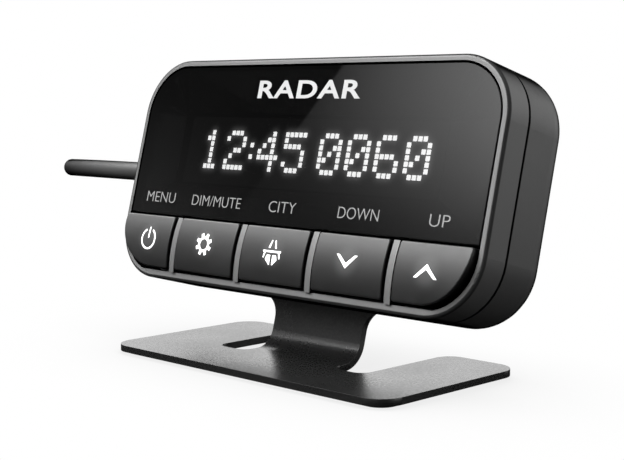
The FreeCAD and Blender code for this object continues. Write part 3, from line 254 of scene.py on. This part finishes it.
def head_moulding(tree, place, broad, low, high, clear_of_painted_shade, rough):
    """Fine-grained black moulding, painted a deep, dull black as shade where
    `clear_of_painted_shade` is 0.
    """
    grain = tree.noise(place, scale=3300.0, rough=0.6)
    fleck = tree.ramp(tree.cells(place, scale=4300.0), over=(0.0, 0.22), to=(0.20, 0.0))
    black = tree.mix(fleck, tree.greys(broad, low, high), grey(0.12))
    return tree.principled(
        # painted shade: where clear_of_painted_shade falls to 0 the moulding turns deep black and
        # loses its sheen
        Base_Color=tree.mix(clear_of_painted_shade, grey(0.004), black),
        Roughness=rough,
        Normal=tree.bump(grain, distance=0.006 * MM),
        Specular_IOR_Level=tree.ramp(clear_of_painted_shade, over=(0.0, 1.0), to=(0.0, 0.30)))


def housing_plastic():
    """Black moulding with a satin grey painted rim and key dividers on its front, the grey partly a
    painted highlight.
    """
    tree = material_tree("housing_plastic")
    place = tree.place()
    depth = head_depth(tree, place)
    facing_front = tree.normal_along(-INWARD)
    inner = inside_outline(tree, place)
    facing_down = tree.normal_along(-UPWARD)
    offset = tree.from_face(place)
    # painted shade: the rim's grey, partly a painted highlight, fades towards the lower right corner
    corner = tree.times(tree.ramp(tree.along(offset, RIGHT), over=(28.0, 31.5), to=(0.0, 0.50)),
                        tree.ramp(tree.along(offset, UPWARD), over=(-11.5, -8.5), to=(1.0, 0.0)))
    # the rim's grey, partly a painted highlight, shows on flat front faces only; painted shade takes
    # it from down-facing fillets outside the opening and towards contours
    painted = tree.times(
        tree.ramp(depth, over=(0.16, 0.24), to=(1.0, 0.0), smooth=False),
        tree.ramp(facing_front, over=(0.90, 0.97)),
        tree.math("MAXIMUM", inner, tree.ramp(facing_down, over=(0.05, 0.16), to=(1.0, 0.0))),
        tree.minus(1.0, corner),
        tree.turned_away(over=(0.36, 0.54)))
    # painted shade: the moulding is darker in the band just behind the front edge and deep black
    # inside the opening, along the seam, on the upper skin and towards contours
    clear_of_painted_shade = tree.times(
        tree.ramp(depth, over=(0.42, 0.66), to=(0.30, 1.0)),
        tree.minus(1.0, inner),
        seam_shade(tree, depth),
        painted_top_shade(tree),
        tree.turned_away(over=SKIN_CONTOUR_SHADE))
    broad = tree.noise(place, scale=100.0, detail=4.0, rough=0.6)
    body = head_moulding(tree, place, broad, low=0.070, high=0.085, clear_of_painted_shade=clear_of_painted_shade,
                         rough=tree.ramp(broad, to=(0.40, 0.47)))
    brushed = tree.noise(place, scale=5200.0, rough=0.6)
    rim = tree.principled(
        Base_Color=tree.greys(brushed, low=0.128, high=0.162),
        Roughness=tree.ramp(broad, to=(0.42, 0.48)),
        Metallic=0.1,
        Normal=tree.bump(brushed, distance=0.0015 * MM),
        Specular_IOR_Level=0.35)
    tree.finish(tree.mix_shader(painted, body, rim))


def cover_plastic():
    """The same moulding for the rear cover, with painted shade along the seam, on its upper skin and
    towards its contours.
    """
    tree = material_tree("cover_plastic")
    place = tree.place()
    depth = head_depth(tree, place)
    broad = tree.noise(place, scale=100.0, detail=4.0, rough=0.6)
    scuff = tree.noise(place, scale=900.0, detail=5.0, rough=0.7)
    clear_of_painted_shade = tree.times(seam_shade(tree, depth),
                           tree.times(painted_top_shade(tree), tree.turned_away(over=SKIN_CONTOUR_SHADE)))
    rough = tree.plus(tree.ramp(broad, to=(0.40, 0.47)),
                      tree.ramp(scuff, over=(0.35, 0.75), to=(-0.02, 0.03)))
    tree.finish(head_moulding(tree, place, broad, low=0.054, high=0.066, clear_of_painted_shade=clear_of_painted_shade,
                              rough=rough))


def key_plastic():
    """Satin keycap, a deeper black on its side walls as painted shade. The lit pictogram bleeds a
    little light into the moulding round it, as a painted glow.
    """
    tree = material_tree("key_plastic")
    place = tree.place()
    offset = tree.from_face(place)
    icon_across = tree.node("Attribute", "Fac", attribute_type="OBJECT", attribute_name="icon_u")
    distance = tree.hypot(tree.minus(tree.along(offset, RIGHT), icon_across),
                          tree.minus(tree.along(offset, UPWARD), ICON_UP))
    falloff, halo_strength = 1.8, 0.05
    halo = tree.math("POWER", tree.ramp(distance, over=(0.9, 3.2), to=(1.0, 0.0)), falloff)
    grain = tree.noise(place, scale=4200.0, rough=0.6)
    broad = tree.noise(place, scale=130.0, detail=4.0, rough=0.6)
    touch = tree.noise(place, scale=420.0, detail=5.0, rough=0.65)
    # painted shade: the cap's side walls are a deeper black than its front
    front = tree.ramp(tree.normal_along(-INWARD), over=(0.2, 0.75))
    tree.finish(tree.principled(
        Base_Color=tree.mix(front, grey(0.003), tree.greys(broad, low=0.0045, high=0.0065)),
        Roughness=tree.plus(tree.ramp(broad, to=(0.40, 0.44)),
                            tree.ramp(touch, over=(0.4, 0.7), to=(-0.02, 0.03))),
        Normal=tree.bump(grain, distance=0.004 * MM),
        Specular_IOR_Level=0.5,
        Emission_Color=grey(1.0),
        Emission_Strength=tree.times(halo, halo_strength)))


ACRYLIC_IOR = 1.49


def lens_tint():
    """Polished smoked acrylic, tinted and reflecting only where light enters it."""
    tree = material_tree("lens_tint")
    haze = tree.noise(tree.place(), scale=70.0)
    leaving = tree.node("NewGeometry", "Backfacing")
    tint = tree.mix(leaving, tree.greys(haze, low=0.046, high=0.050), grey(1.0))
    through = tree.shader("BsdfRefraction", Color=tint, Roughness=0.0, IOR=ACRYLIC_IOR)
    polish = tree.shader("BsdfGlossy", Roughness=tree.ramp(haze, to=(0.0, 0.03)))
    fresnel = tree.shader("Fresnel", IOR=ACRYLIC_IOR)
    reflected = tree.times(fresnel, tree.minus(1.0, leaving))
    tree.finish(tree.mix_shader(reflected, through, polish))


def display_glass():
    tree = material_tree("display_glass")
    haze = tree.noise(tree.place(), scale=300.0, detail=3.0)
    tree.finish(tree.principled(Base_Color=tree.greys(haze, low=0.012, high=0.02),
                                Roughness=tree.ramp(haze, to=(0.12, 0.2))))


def board_laminate():
    """Green laminate with raised, paler tracks."""
    tree = material_tree("board_laminate")
    place = tree.place()
    weave = tree.times(tree.noise(place, scale=1800.0, detail=1.0),
                       tree.noise(place, scale=240.0, detail=4.0))
    track = tree.ramp(tree.cells(place, scale=320.0, feature="DISTANCE_TO_EDGE"),
                      over=(0.04, 0.08), to=(1.0, 0.0))
    track_cover = 0.5
    colour = tree.mix(weave, (0.010, 0.060, 0.028, 1), (0.016, 0.10, 0.045, 1))
    colour = tree.mix(tree.times(track, track_cover), colour, (0.03, 0.16, 0.07, 1))
    tree.finish(tree.principled(Base_Color=colour, Roughness=0.4,
                                Normal=tree.bump(track, distance=0.01 * MM)))


def guide_acrylic():
    """Clear acrylic, faintly glowing."""
    tree = material_tree("guide_acrylic")
    haze = tree.noise(tree.place(), scale=900.0, detail=3.0)
    tree.finish(tree.principled(
        Base_Color=tree.greys(haze, low=0.82, high=0.9),
        Roughness=tree.ramp(haze, to=(0.15, 0.3)),
        IOR=ACRYLIC_IOR,
        Transmission_Weight=0.9,
        Emission_Color=grey(1.0),
        Emission_Strength=0.3))


def magnet():
    tree = material_tree("magnet")
    patches = tree.noise(tree.place(), scale=500.0, detail=5.0, rough=0.6)
    tree.finish(tree.principled(
        Base_Color=tree.greys(patches, low=0.38, high=0.52),
        Metallic=1.0,
        Roughness=tree.ramp(patches, to=(0.22, 0.38)),
        Normal=tree.bump(patches, distance=0.004 * MM)))


def moulded(name, colour, rough, grain, depth, spec=0.5, coat=0.0, vary=0.10, contour=False):
    """Moulded finish with a grain `grain` mm wide and `depth` mm deep, uneven sheen and a
    share `vary` of colour drift; `contour` blackens it where it turns away."""
    tree = material_tree(name)
    place = tree.place()
    fine = tree.noise(place, scale=1000.0 / grain, rough=0.6)
    broad = tree.noise(place, scale=110.0, detail=4.0, rough=0.6)
    scuff = tree.noise(place, scale=900.0, detail=5.0, rough=0.7)
    darker = tuple(c * (1.0 - vary) for c in colour[:3]) + (1.0,)
    lighter = tuple(min(1.0, c * (1.0 + vary)) for c in colour[:3]) + (1.0,)
    drifted = tree.mix(broad, darker, lighter)
    # painted shade: `contour` blackens the finish and takes its sheen where it turns away
    if contour:
        facing = tree.turned_away(over=(0.44, 0.84))
        drifted = tree.mix(facing, grey(0.004), drifted)
        spec = tree.times(facing, spec)
    tree.finish(tree.principled(
        Base_Color=drifted,
        Roughness=tree.plus(tree.ramp(broad, to=(rough - 0.03, rough + 0.03)),
                            tree.ramp(scuff, over=(0.35, 0.75), to=(-0.02, 0.04))),
        Normal=tree.bump(fine, distance=depth * MM),
        Specular_IOR_Level=spec,
        Coat_Weight=coat))


def turned(name, colour, rough):
    """Plated or machined metal with fine tool lines and dull patches."""
    tree = material_tree(name)
    place = tree.place()
    lines = tree.node("TexWave", "Fac", {"Vector": place, "Scale": 1500.0, "Distortion": 2.0},
                      wave_type="RINGS")
    patches = tree.noise(place, scale=700.0, detail=4.0, rough=0.6)
    dull_share = 0.82
    dull = tuple(c * dull_share for c in colour[:3]) + (1.0,)
    tree.finish(tree.principled(
        Base_Color=tree.mix(patches, dull, colour),
        Roughness=tree.ramp(patches, to=(rough - 0.06, rough + 0.08)),
        Metallic=1.0,
        Normal=tree.bump(lines, distance=0.004 * MM, strength=0.5)))


MOULDED = (
    # name, colour, roughness, grain width and depth in mm, other settings
    ("foam_tape", grey(0.018), 0.85, 0.18, 0.03, {"spec": 0.3}),
    ("black_tape", grey(0.010), 0.55, 0.20, 0.008, {}),
    ("inner_plastic", grey(0.016), 0.5, 0.25, 0.006, {}),
    ("flex_film", (0.22, 0.075, 0.018, 1), 0.3, 0.5, 0.003, {"coat": 0.3}),
    ("connector_plastic", (0.52, 0.47, 0.36, 1), 0.45, 0.3, 0.005, {}),
    ("plug_plastic", grey(0.62), 0.45, 0.3, 0.005, {}),
    ("lamp_body", (0.75, 0.68, 0.36, 1), 0.3, 0.3, 0.003, {}),
    ("chip_body", grey(0.022), 0.55, 0.12, 0.006, {}),
    ("ferrite", grey(0.055), 0.65, 0.15, 0.012, {}),
    ("speaker_film", (0.055, 0.05, 0.042, 1), 0.5, 0.35, 0.02, {}),
    ("foam_ring", grey(0.03), 0.9, 0.2, 0.04, {"spec": 0.3}),
    ("stem_plastic", grey(0.55), 0.4, 0.3, 0.004, {}),
    ("cable_sheath", grey(0.052), 0.50, 0.45, 0.004, {"vary": 0.12, "spec": 0.28, "contour": True}),
    ("rubber_sleeve", grey(0.020), 0.6, 0.25, 0.010, {}),
    ("wire_sheath", (0.16, 0.14, 0.13, 1), 0.4, 0.3, 0.004, {}),
)
TURNED = (
    # name, colour, roughness
    ("switch_metal", grey(0.62), 0.34),
    ("steel_can", grey(0.66), 0.26),
    ("aluminium_can", grey(0.78), 0.3),
    ("speaker_steel", grey(0.50), 0.4),
    ("brass_contact", (0.72, 0.52, 0.20, 1), 0.3),
    ("brass_insert", (0.70, 0.49, 0.19, 1), 0.34),
    ("screw_steel", grey(0.16), 0.42),
)

stand_paint()
housing_plastic()
key_plastic()
lens_tint()
display_glass()
board_laminate()
guide_acrylic()
magnet()
cover_plastic()
for *row, others in MOULDED:
    moulded(*row, **others)
for row in TURNED:
    turned(*row)

# each keycap tells its material where its pictogram sits
for key, across in ICON_ACROSS.items():
    NODES[key + "_keycap"]["icon_u"] = across


def soften(node, width, angle=40.0, segments=2):
    """Breaks a node's edges sharper than `angle` degrees with a bevel `width` mm wide."""
    modifiers = NODES[node].modifiers
    modifiers.new("weld", "WELD").merge_threshold = 1e-6
    edge = modifiers.new("edge", "BEVEL")
    edge.width = width * MM
    edge.segments = segments
    edge.limit_method = "ANGLE"
    edge.angle_limit = math.radians(angle)
    edge.use_clamp_overlap = True
    edge.harden_normals = False
    normals = modifiers.new("normals", "WEIGHTED_NORMAL")
    normals.keep_sharp = True
    normals.weight = 80


soften("stand_bracket", width=0.11)


# ---------------------------------------------------------------- building flat shapes and lettering
def mesh_object(bm, name, material):
    mesh = bpy.data.meshes.new(name)
    bm.to_mesh(mesh)
    bm.free()
    made = bpy.data.objects.new(name, mesh)
    bpy.context.scene.collection.objects.link(made)
    mesh.materials.append(material)
    return made


def solid(bm, name, material, body):
    """Turns a bmesh of closed pieces into an object that rides on a body."""
    bmesh.ops.recalc_face_normals(bm, faces=bm.faces)
    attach(mesh_object(bm, name, material), body)


def from_curve(curve):
    """The curve's filled, extruded mesh, welded into closed pieces."""
    curve.extrude = 0.05
    holder = bpy.data.objects.new("tmp", curve)
    bpy.context.scene.collection.objects.link(holder)
    bpy.context.view_layer.update()
    graph = bpy.context.evaluated_depsgraph_get()
    mesh = bpy.data.meshes.new_from_object(holder.evaluated_get(graph))
    bpy.data.objects.remove(holder)
    bpy.data.curves.remove(curve)
    bm = bmesh.new()
    bm.from_mesh(mesh)
    bpy.data.meshes.remove(mesh)
    bmesh.ops.remove_doubles(bm, verts=bm.verts, dist=1e-5)
    return bm


def outline(loops):
    """Filled shape from closed loops of (x, y) in mm; loops inside others are holes."""
    curve = bpy.data.curves.new("tmp", "CURVE")
    curve.dimensions = "2D"
    curve.fill_mode = "BOTH"
    for loop in loops:
        spline = curve.splines.new("POLY")
        spline.points.add(len(loop) - 1)
        for point, (x, y) in zip(spline.points, loop):
            point.co = (x, y, 0.0, 1.0)
        spline.use_cyclic_u = True
    return from_curve(curve)


def letters(text, height, width, bold, gap=1.0):
    """Closed letter solids, centred, `height` mm tall and `width` mm wide over all."""
    curve = bpy.data.curves.new("tmp", "FONT")
    curve.body = text
    curve.size = 1.0
    curve.offset = bold
    curve.space_character = gap
    curve.resolution_u = 5
    bm = from_curve(curve)
    xs = [vert.co.x for vert in bm.verts]
    ys = [vert.co.y for vert in bm.verts]
    scale_x = width / (max(xs) - min(xs))
    scale_y = height / (max(ys) - min(ys))
    middle_x, middle_y = (max(xs) + min(xs)) / 2, (max(ys) + min(ys)) / 2
    for vert in bm.verts:
        vert.co.x = (vert.co.x - middle_x) * scale_x
        vert.co.y = (vert.co.y - middle_y) * scale_y
    return bm


def with_rise(bm):
    """Each vertex with its share of the shape's thickness, 0 at the back and 1 at the front."""
    zs = [vert.co.z for vert in bm.verts]
    back, front = min(zs), max(zs)
    return [(vert, (vert.co.z - back) / (front - back)) for vert in bm.verts]


INK_FRONT, INK_BACK = LENS_FRONT - 0.030, LENS_FRONT - 0.004


def print_on_lens(bm, name, across, up, material):
    for vert, rise in with_rise(bm):
        depth = INK_BACK + (INK_FRONT - INK_BACK) * rise
        vert.co = at(across + vert.co.x, up + vert.co.y, depth)
    solid(bm, name, material, HEAD)


def lay_on_key(bm, key, material, proud=0.015, sunk=0.02, step=0.35):
    """Wraps a shape onto a keycap's front, `proud` mm above it and `sunk` mm into it.

    It is first cut every `step` mm of height so that it can follow the cap's curve.
    """
    ys = [vert.co.y for vert in bm.verts]
    y = math.floor(min(ys) / step) * step
    while y < max(ys):
        geometry = bm.verts[:] + bm.edges[:] + bm.faces[:]
        bmesh.ops.bisect_plane(bm, geom=geometry, plane_co=(0, y, 0), plane_no=(0, 1, 0), dist=1e-5)
        y += step
    cap = NODES[key + "_keycap"].data
    surface = BVHTree.FromPolygons([vert.co[:] for vert in cap.vertices],
                                   [face.vertices[:] for face in cap.polygons])
    for vert, rise in with_rise(bm):
        across, up = ICON_ACROSS[key] + vert.co.x, ICON_UP + vert.co.y
        base = surface.ray_cast(at(across, up, -10.0), INWARD)[0]
        if base is None:    # guards a point that falls beside the cap
            base = at(across, up)
        vert.co = base - INWARD * ((proud + sunk) * rise - sunk) * MM
    solid(bm, "pictogram_" + key, material, key + "_key")


def arc(centre_x, centre_y, radius, start, end, steps):
    """Points along an arc between two angles in degrees."""
    angles = [math.radians(start + (end - start) * i / steps) for i in range(steps + 1)]
    return [(centre_x + radius * math.cos(a), centre_y + radius * math.sin(a)) for a in angles]


# ---------------------------------------------------------------- light-giving and printed finishes
def lit(name, strength):
    tree = material_tree(name)
    uneven = tree.ramp(tree.noise(tree.place(), scale=1800.0), to=(0.92, 1.0))
    tree.finish(tree.principled(Base_Color=grey(0.75), Roughness=0.45, Emission_Color=grey(1.0),
                                Emission_Strength=tree.times(uneven, strength)))
    return tree.owner


def printed(name, value, glow):
    """Screen-printed ink: slightly uneven cover with a dull sheen, brightened by a painted glow
    `glow`.
    """
    tree = material_tree(name)
    cover = tree.noise(tree.place(), scale=5200.0, detail=3.0, rough=0.6)
    tree.finish(tree.principled(
        Base_Color=tree.greys(cover, low=value * 0.88, high=value),
        Roughness=0.5,
        Normal=tree.bump(cover, distance=0.002 * MM),
        Emission_Color=grey(1.0),
        Emission_Strength=glow))
    return tree.owner


WORD_INK = printed("word_ink", value=0.42, glow=0.16)
LEGEND_INK = printed("legend_ink", value=0.26, glow=0.05)
KEY_LIGHT = lit("key_light", strength=1.10)
CELL_LIT = lit("cell_lit", strength=20.0)


# ---------------------------------------------------------------- the display
MESSAGE = "12:45 0060"
GLYPHS = {      # rows from the top, 1 for a lit cell
    "0": ("01110", "10001", "10011", "10101", "11001", "10001", "01110"),
    "1": ("00100", "01100", "00100", "00100", "00100", "00100", "01110"),
    "2": ("01110", "10001", "00001", "00110", "01000", "10000", "11111"),
    "4": ("00010", "00110", "01010", "10010", "11111", "00010", "00010"),
    "5": ("11111", "10000", "11110", "00001", "00001", "10001", "01110"),
    "6": ("01110", "10000", "10000", "11110", "10001", "10001", "01110"),
    ":": ("0", "0", "1", "0", "1", "0", "0"),
    " ": ("0",) * 7,
}
CELL_ROWS = 7
CELL_PITCH, CELL_SIZE = 0.905, 0.72
ROW_SQUEEZE = 0.985         # row pitch over column pitch
CELL_CORNER = 0.12          # corner radius over cell size
CELL_FACE = 0.93            # front face over cell size
CELL_FRONT, CELL_BACK = PANEL_DEPTH - 0.060, PANEL_DEPTH - 0.030
CELL_CHAMFER = 0.008        # depth of the slope round the front face
DISPLAY_UP = 3.7            # height of the message's middle


def lit_places():
    """(across, up) of each lit cell's middle, column by column from the left."""
    columns = []
    for character in MESSAGE:
        if columns:     # one dark column between characters
            columns.append("0" * CELL_ROWS)
        columns += zip(*GLYPHS[character])
    return [((i + 0.5 - len(columns) / 2.0) * CELL_PITCH,
             DISPLAY_UP + (CELL_ROWS / 2.0 - row - 0.5) * CELL_PITCH * ROW_SQUEEZE)
            for i, column in enumerate(columns) for row in range(CELL_ROWS) if column[row] == "1"]


def display_cells(places):
    """Rounded square cells with a chamfered front, one closed solid each."""
    radius = CELL_SIZE * CELL_CORNER
    inset = CELL_SIZE / 2 - radius
    loop = []
    for x, y, start in ((inset, inset, 0), (-inset, inset, 90),
                        (-inset, -inset, 180), (inset, -inset, 270)):
        loop += arc(x, y, radius, start, start + 90, 3)
    levels = ((1.0, CELL_BACK), (1.0, CELL_FRONT + CELL_CHAMFER), (CELL_FACE, CELL_FRONT))
    bm = bmesh.new()
    for across, up in places:
        back, side, front = [
            [bm.verts.new(at(across + x * scale, up + y * scale, depth)) for x, y in loop]
            for scale, depth in levels]
        for i in range(len(loop)):
            j = (i + 1) % len(loop)
            bm.faces.new((back[i], back[j], side[j], side[i]))
            bm.faces.new((side[i], side[j], front[j], front[i]))
        bm.faces.new(front)
        bm.faces.new(back[::-1])
    solid(bm, "display_cells_lit", CELL_LIT, HEAD)


FILM_LEFT, FILM_RIGHT, FILM_BOTTOM, FILM_TOP = -26.3, 26.3, -2.1, 9.3
FILM_FRONT, FILM_BACK = PANEL_DEPTH - 0.028, PANEL_DEPTH - 0.004
FILM_STEP = 0.30            # spacing of the film's grid
# each cell's glow is exp(-squared distance / spread) times gain, cut off beyond the reach
GLOW_SPREAD, GLOW_REACH_SQUARED, GLOW_GAIN = 0.55, 6.0, 0.30


def film_finish():
    """Dark film glowing by the mesh's `glow` attribute over a faint base light."""
    tree = material_tree("display_film")
    place = tree.place()
    glow = tree.node("Attribute", "Fac", attribute_type="GEOMETRY", attribute_name="glow")
    glow_strength = 3.0
    base = tree.ramp(tree.noise(place, scale=700.0), to=(0.030, 0.040))
    tree.finish(tree.principled(
        Base_Color=grey(0.012), Roughness=0.4, Emission_Color=grey(1.0),
        Emission_Strength=tree.plus(tree.times(glow, glow_strength), base)))
    return tree.owner


def glow_at(across, up, places):
    total = 0.0
    for cell_across, cell_up in places:
        squared = (cell_across - across) ** 2 + (cell_up - up) ** 2
        if squared < GLOW_REACH_SQUARED:
            total += math.exp(-squared / GLOW_SPREAD)
    return min(1.0, total * GLOW_GAIN)


def display_film(places):
    """Thin film over the panel that catches the light leaking round each lit cell."""
    material = film_finish()
    width, height = FILM_RIGHT - FILM_LEFT, FILM_TOP - FILM_BOTTOM
    columns = int(width / FILM_STEP) + 1
    rows = int(height / FILM_STEP) + 1
    bm = bmesh.new()
    glow = bm.verts.layers.float.new("glow")

    def sheet(depth, glowing):
        grid = []
        for j in range(rows):
            grid.append([])
            for i in range(columns):
                across = FILM_LEFT + width * i / (columns - 1)
                up = FILM_BOTTOM + height * j / (rows - 1)
                vert = bm.verts.new(at(across, up, depth))
                vert[glow] = glow_at(across, up, places) if glowing else 0.0
                grid[-1].append(vert)
        return grid

    front = sheet(FILM_FRONT, glowing=True)
    back = sheet(FILM_BACK, glowing=False)
    for j in range(rows - 1):
        for i in range(columns - 1):
            bm.faces.new((front[j][i], front[j][i + 1], front[j + 1][i + 1], front[j + 1][i]))
            bm.faces.new((back[j][i], back[j + 1][i], back[j + 1][i + 1], back[j][i + 1]))
    for i in range(columns - 1):
        bm.faces.new((front[0][i], back[0][i], back[0][i + 1], front[0][i + 1]))
        bm.faces.new((front[-1][i], front[-1][i + 1], back[-1][i + 1], back[-1][i]))
    for j in range(rows - 1):
        bm.faces.new((front[j][0], front[j + 1][0], back[j + 1][0], back[j][0]))
        bm.faces.new((front[j][-1], back[j][-1], back[j + 1][-1], front[j + 1][-1]))
    solid(bm, "display_film", material, HEAD)


LIT_PLACES = lit_places()
display_cells(LIT_PLACES)
display_film(LIT_PLACES)

# ---------------------------------------------------------------- print on the lens
LEGEND_UP = -4.75
LEGENDS = (
    # name, text, across, width
    ("menu", "MENU", -28.3, 6.9),
    ("dim", "DIM/MUTE", -15.2, 11.0),
    ("city", "CITY", -0.85, 5.5),
    ("down", "DOWN", 13.95, 7.5),
    ("up", "UP", 28.15, 3.4),
)
print_on_lens(letters("RADAR", height=2.7, width=20.8, bold=0.022, gap=1.10),
              "printed_word", across=0.1, up=12.7, material=WORD_INK)
for name, text, across, width in LEGENDS:
    print_on_lens(letters(text, height=1.62, width=width, bold=-0.013),
                  "legend_" + name, across, LEGEND_UP, LEGEND_INK)

# ---------------------------------------------------------------- lit pictograms on the keys
ICON_SIZE = 0.90            # scale of the outlines below


def power_icon():
    """A ring open at the top with an upright, round-ended bar in the gap."""
    ring = arc(0, -0.15, 1.90, 118, 422, 44) + arc(0, -0.15, 1.57, 422, 118, 44)
    bar = arc(0, 0.1, 0.16, 180, 360, 10) + arc(0, 1.80, 0.16, 0, 180, 10)
    return [ring, bar]


def gear_icon():
    """Eight teeth round a hole."""
    tooth = ((-14.5, 1.32), (-8.5, 1.92), (8.5, 1.92), (14.5, 1.32))   # degrees off middle, radius
    gear = []
    for i in range(8):
        for turn, radius in tooth:
            angle = math.radians(i * 45 + 22.5 + turn)
            gear.append((radius * math.cos(angle), radius * math.sin(angle)))
    return [gear, arc(0, 0, 0.90, 0, 345, 23)]


def road_icon():
    """Two lanes narrowing upwards, crossed by a bridge."""
    right = [[(0.27, 2.0), (0.50, 2.0), (0.92, 0.70), (0.54, 0.70)],
             [(0.24, -0.40), (1.04, -0.40), (1.32, -1.15), (0.42, -2.0), (0.24, -2.0)]]
    left = [[(-x, y) for x, y in reversed(part)] for part in right]
    bridge = [(-2.0, 0.33), (-2.0, 0.03), (-1.72, 0.01), (-1.94, -0.90), (-1.68, -0.95),
              (-1.40, 0.0), (1.40, 0.0), (1.68, -0.95), (1.94, -0.90), (1.72, 0.01),
              (2.0, 0.03), (2.0, 0.33)]
    return right + left + [bridge]


def chevron(sign):
    """Two mitred strokes meeting in a point; sign 1 points up."""
    height, width, thick = 1.05, 2.15, 0.62     # half height, half width, stroke
    foot, notch = thick * 0.95, 1.32 * thick
    points = [(-width, -height), (0, height), (width, -height), (width - foot, -height),
              (0, height - notch), (-width + foot, -height)]
    return [[(x, y * sign) for x, y in points]]


for key, loops in (("power", power_icon()), ("settings", gear_icon()), ("road", road_icon()),
                   ("down", chevron(-1)), ("up", chevron(1))):
    scaled = [[(x * ICON_SIZE, y * ICON_SIZE) for x, y in loop] for loop in loops]
    lay_on_key(outline(scaled), key, KEY_LIGHT)


# ---------------------------------------------------------------- floor
def floor_finish():
    """White to the camera, with a contact shade; to other rays a glow rising to its right."""
    tree = material_tree("studio_floor")
    ray = tree.camera_ray()
    openness = tree.node("AmbientOcclusion", "AO", {"Distance": 0.03}, samples=16)
    near = tree.ramp(tree.vector("LENGTH", tree.place(), out="Value"),
                     over=(0.05, 0.16), to=(1.0, 0.0))
    contact = tree.times(near, tree.ramp(openness, over=(0.35, 1.0), to=(0.16, 0.0)))
    seen = tree.shader("Emission", Strength=tree.minus(1.0, contact))
    x, y, _ = tree.axes(tree.place())
    right_x, right_y = 0.62, 0.78       # the camera's right, on the floor
    right = tree.plus(tree.times(x, right_x), tree.times(y, right_y))
    unseen = tree.shader("Emission", Strength=tree.ramp(right, over=(0.08, 0.70), to=(0.025, 1.5)))
    tree.finish(tree.mix_shader(ray, unseen, seen))
    return tree.owner


def studio_floor():
    """A disc of 36 sides just under the stand, in metres."""
    radius, height = 2.5, -0.00002
    material = floor_finish()
    bm = bmesh.new()
    angles = [math.radians(10 * i) for i in range(36)]
    bm.faces.new([bm.verts.new((radius * math.cos(a), radius * math.sin(a), height))
                  for a in angles])
    mesh_object(bm, "studio_floor", material)


studio_floor()

# ---------------------------------------------------------------- light: one soft studio surround
PANELS = (
    # bearing, half width and its softness; low, high and their softness (degrees); strength
    (-43.0, 36.0, 8.0, 7.0, 34.0, 3.0, 2.10),       # pale sweep opposite the camera
    (-135.0, 50.0, 10.0, 28.5, 56.0, 2.0, 9.8),     # high, front left
    (45.0, 40.0, 12.0, 0.0, 34.0, 3.0, 2.2),        # on the camera's right
    (-85.0, 22.0, 8.0, 6.0, 45.0, 4.0, 0.8),        # on the left
    (-122.0, 9.0, 6.0, 3.0, 15.0, 4.0, 0.28),       # faint low card, front left
)
# two directions on the straight edge of the front panel that the lens mirrors
EDGE_DIRECTIONS = Vector((-0.683, -0.627, 0.375)), Vector((-0.706, -0.629, 0.325))


def surround():
    """White to the camera; soft panels light everything else."""
    world = bpy.data.worlds.new("studio")
    bpy.context.scene.world = world
    tree = Tree(world)
    direction = tree.vector("NORMALIZE", tree.node("TexCoord", "Generated"))
    x, y, z = tree.axes(direction)
    degrees = 180.0 / math.pi
    elevation = tree.times(tree.math("ARCSINE", z), degrees)

    def off_bearing(bearing):
        """Degrees to either side of a bearing, itself measured from +Y towards +X."""
        sine, cosine = math.sin(math.radians(bearing)), math.cos(math.radians(bearing))
        side = tree.minus(tree.times(x, cosine), tree.times(y, sine))
        ahead = tree.plus(tree.times(x, sine), tree.times(y, cosine))
        return tree.math("ABSOLUTE", tree.times(tree.math("ARCTAN2", side, ahead), degrees))

    def panel(bearing, half, soft, low, high, soft_height, strength):
        """A soft-edged bright region."""
        sides = tree.ramp(off_bearing(bearing), over=(half - soft, half + soft), to=(1.0, 0.0))
        bottom = tree.ramp(elevation, over=(low - soft_height, low + soft_height))
        top = tree.ramp(elevation, over=(high - soft_height, high + soft_height), to=(1.0, 0.0))
        return tree.times(tree.times(sides, bottom), tree.times(top, strength))

    def edged_panel():
        """A region with one straight, crisp edge, brighter away from it and higher up."""
        normal = EDGE_DIRECTIONS[0].cross(EDGE_DIRECTIONS[1]).normalized()
        edge = tree.ramp(tree.dot(direction, normal), over=(-0.0015, 0.0015))
        rise = tree.ramp(tree.dot(direction, normal), over=(0.0, 0.14), to=(0.80, 5.3),
                         smooth=False)
        bottom = tree.ramp(elevation, over=(14.5, 26.5), to=(0.05, 1.10))
        sides = tree.ramp(off_bearing(-138.0), over=(14.0, 26.0), to=(1.0, 0.0))
        top = tree.ramp(elevation, over=(40.0, 60.0), to=(1.0, 0.0))
        return tree.times(tree.times(edge, rise), tree.times(bottom, sides), top)

    ambient = 0.10
    total = tree.plus(ambient, tree.ramp(elevation, over=(38.0, 70.0), to=(0.0, 0.9)))
    for part in [panel(*row) for row in PANELS] + [edged_panel()]:
        total = tree.plus(total, part)
    light = tree.shader("Background", Strength=total, Color=grey(1.0))
    white = tree.shader("Background", Color=grey(1.0))
    tree.finish(tree.mix_shader(tree.camera_ray(), light, white), "World")


surround()
bpy.context.scene.view_settings.view_transform = "Standard"
bpy.context.scene.view_settings.look = "None"


# ---------------------------------------------------------------- camera, front right, looking down
def add_camera():
    tilt_down, heading = 5.923, 44.503      # degrees; heading turns from +Y towards -X
    lens = bpy.data.cameras.new("camera")
    lens.sensor_fit = "HORIZONTAL"
    lens.sensor_width = 36.0
    lens.lens = 75.515
    lens.clip_start, lens.clip_end = 0.01, 20.0
    camera = bpy.data.objects.new("camera", lens)
    camera.location = (0.133649, -0.125428, 0.039524)
    camera.rotation_euler = (math.radians(90.0 - tilt_down), 0.0, math.radians(heading))
    bpy.context.scene.collection.objects.link(camera)
    bpy.context.scene.camera = camera


add_camera()
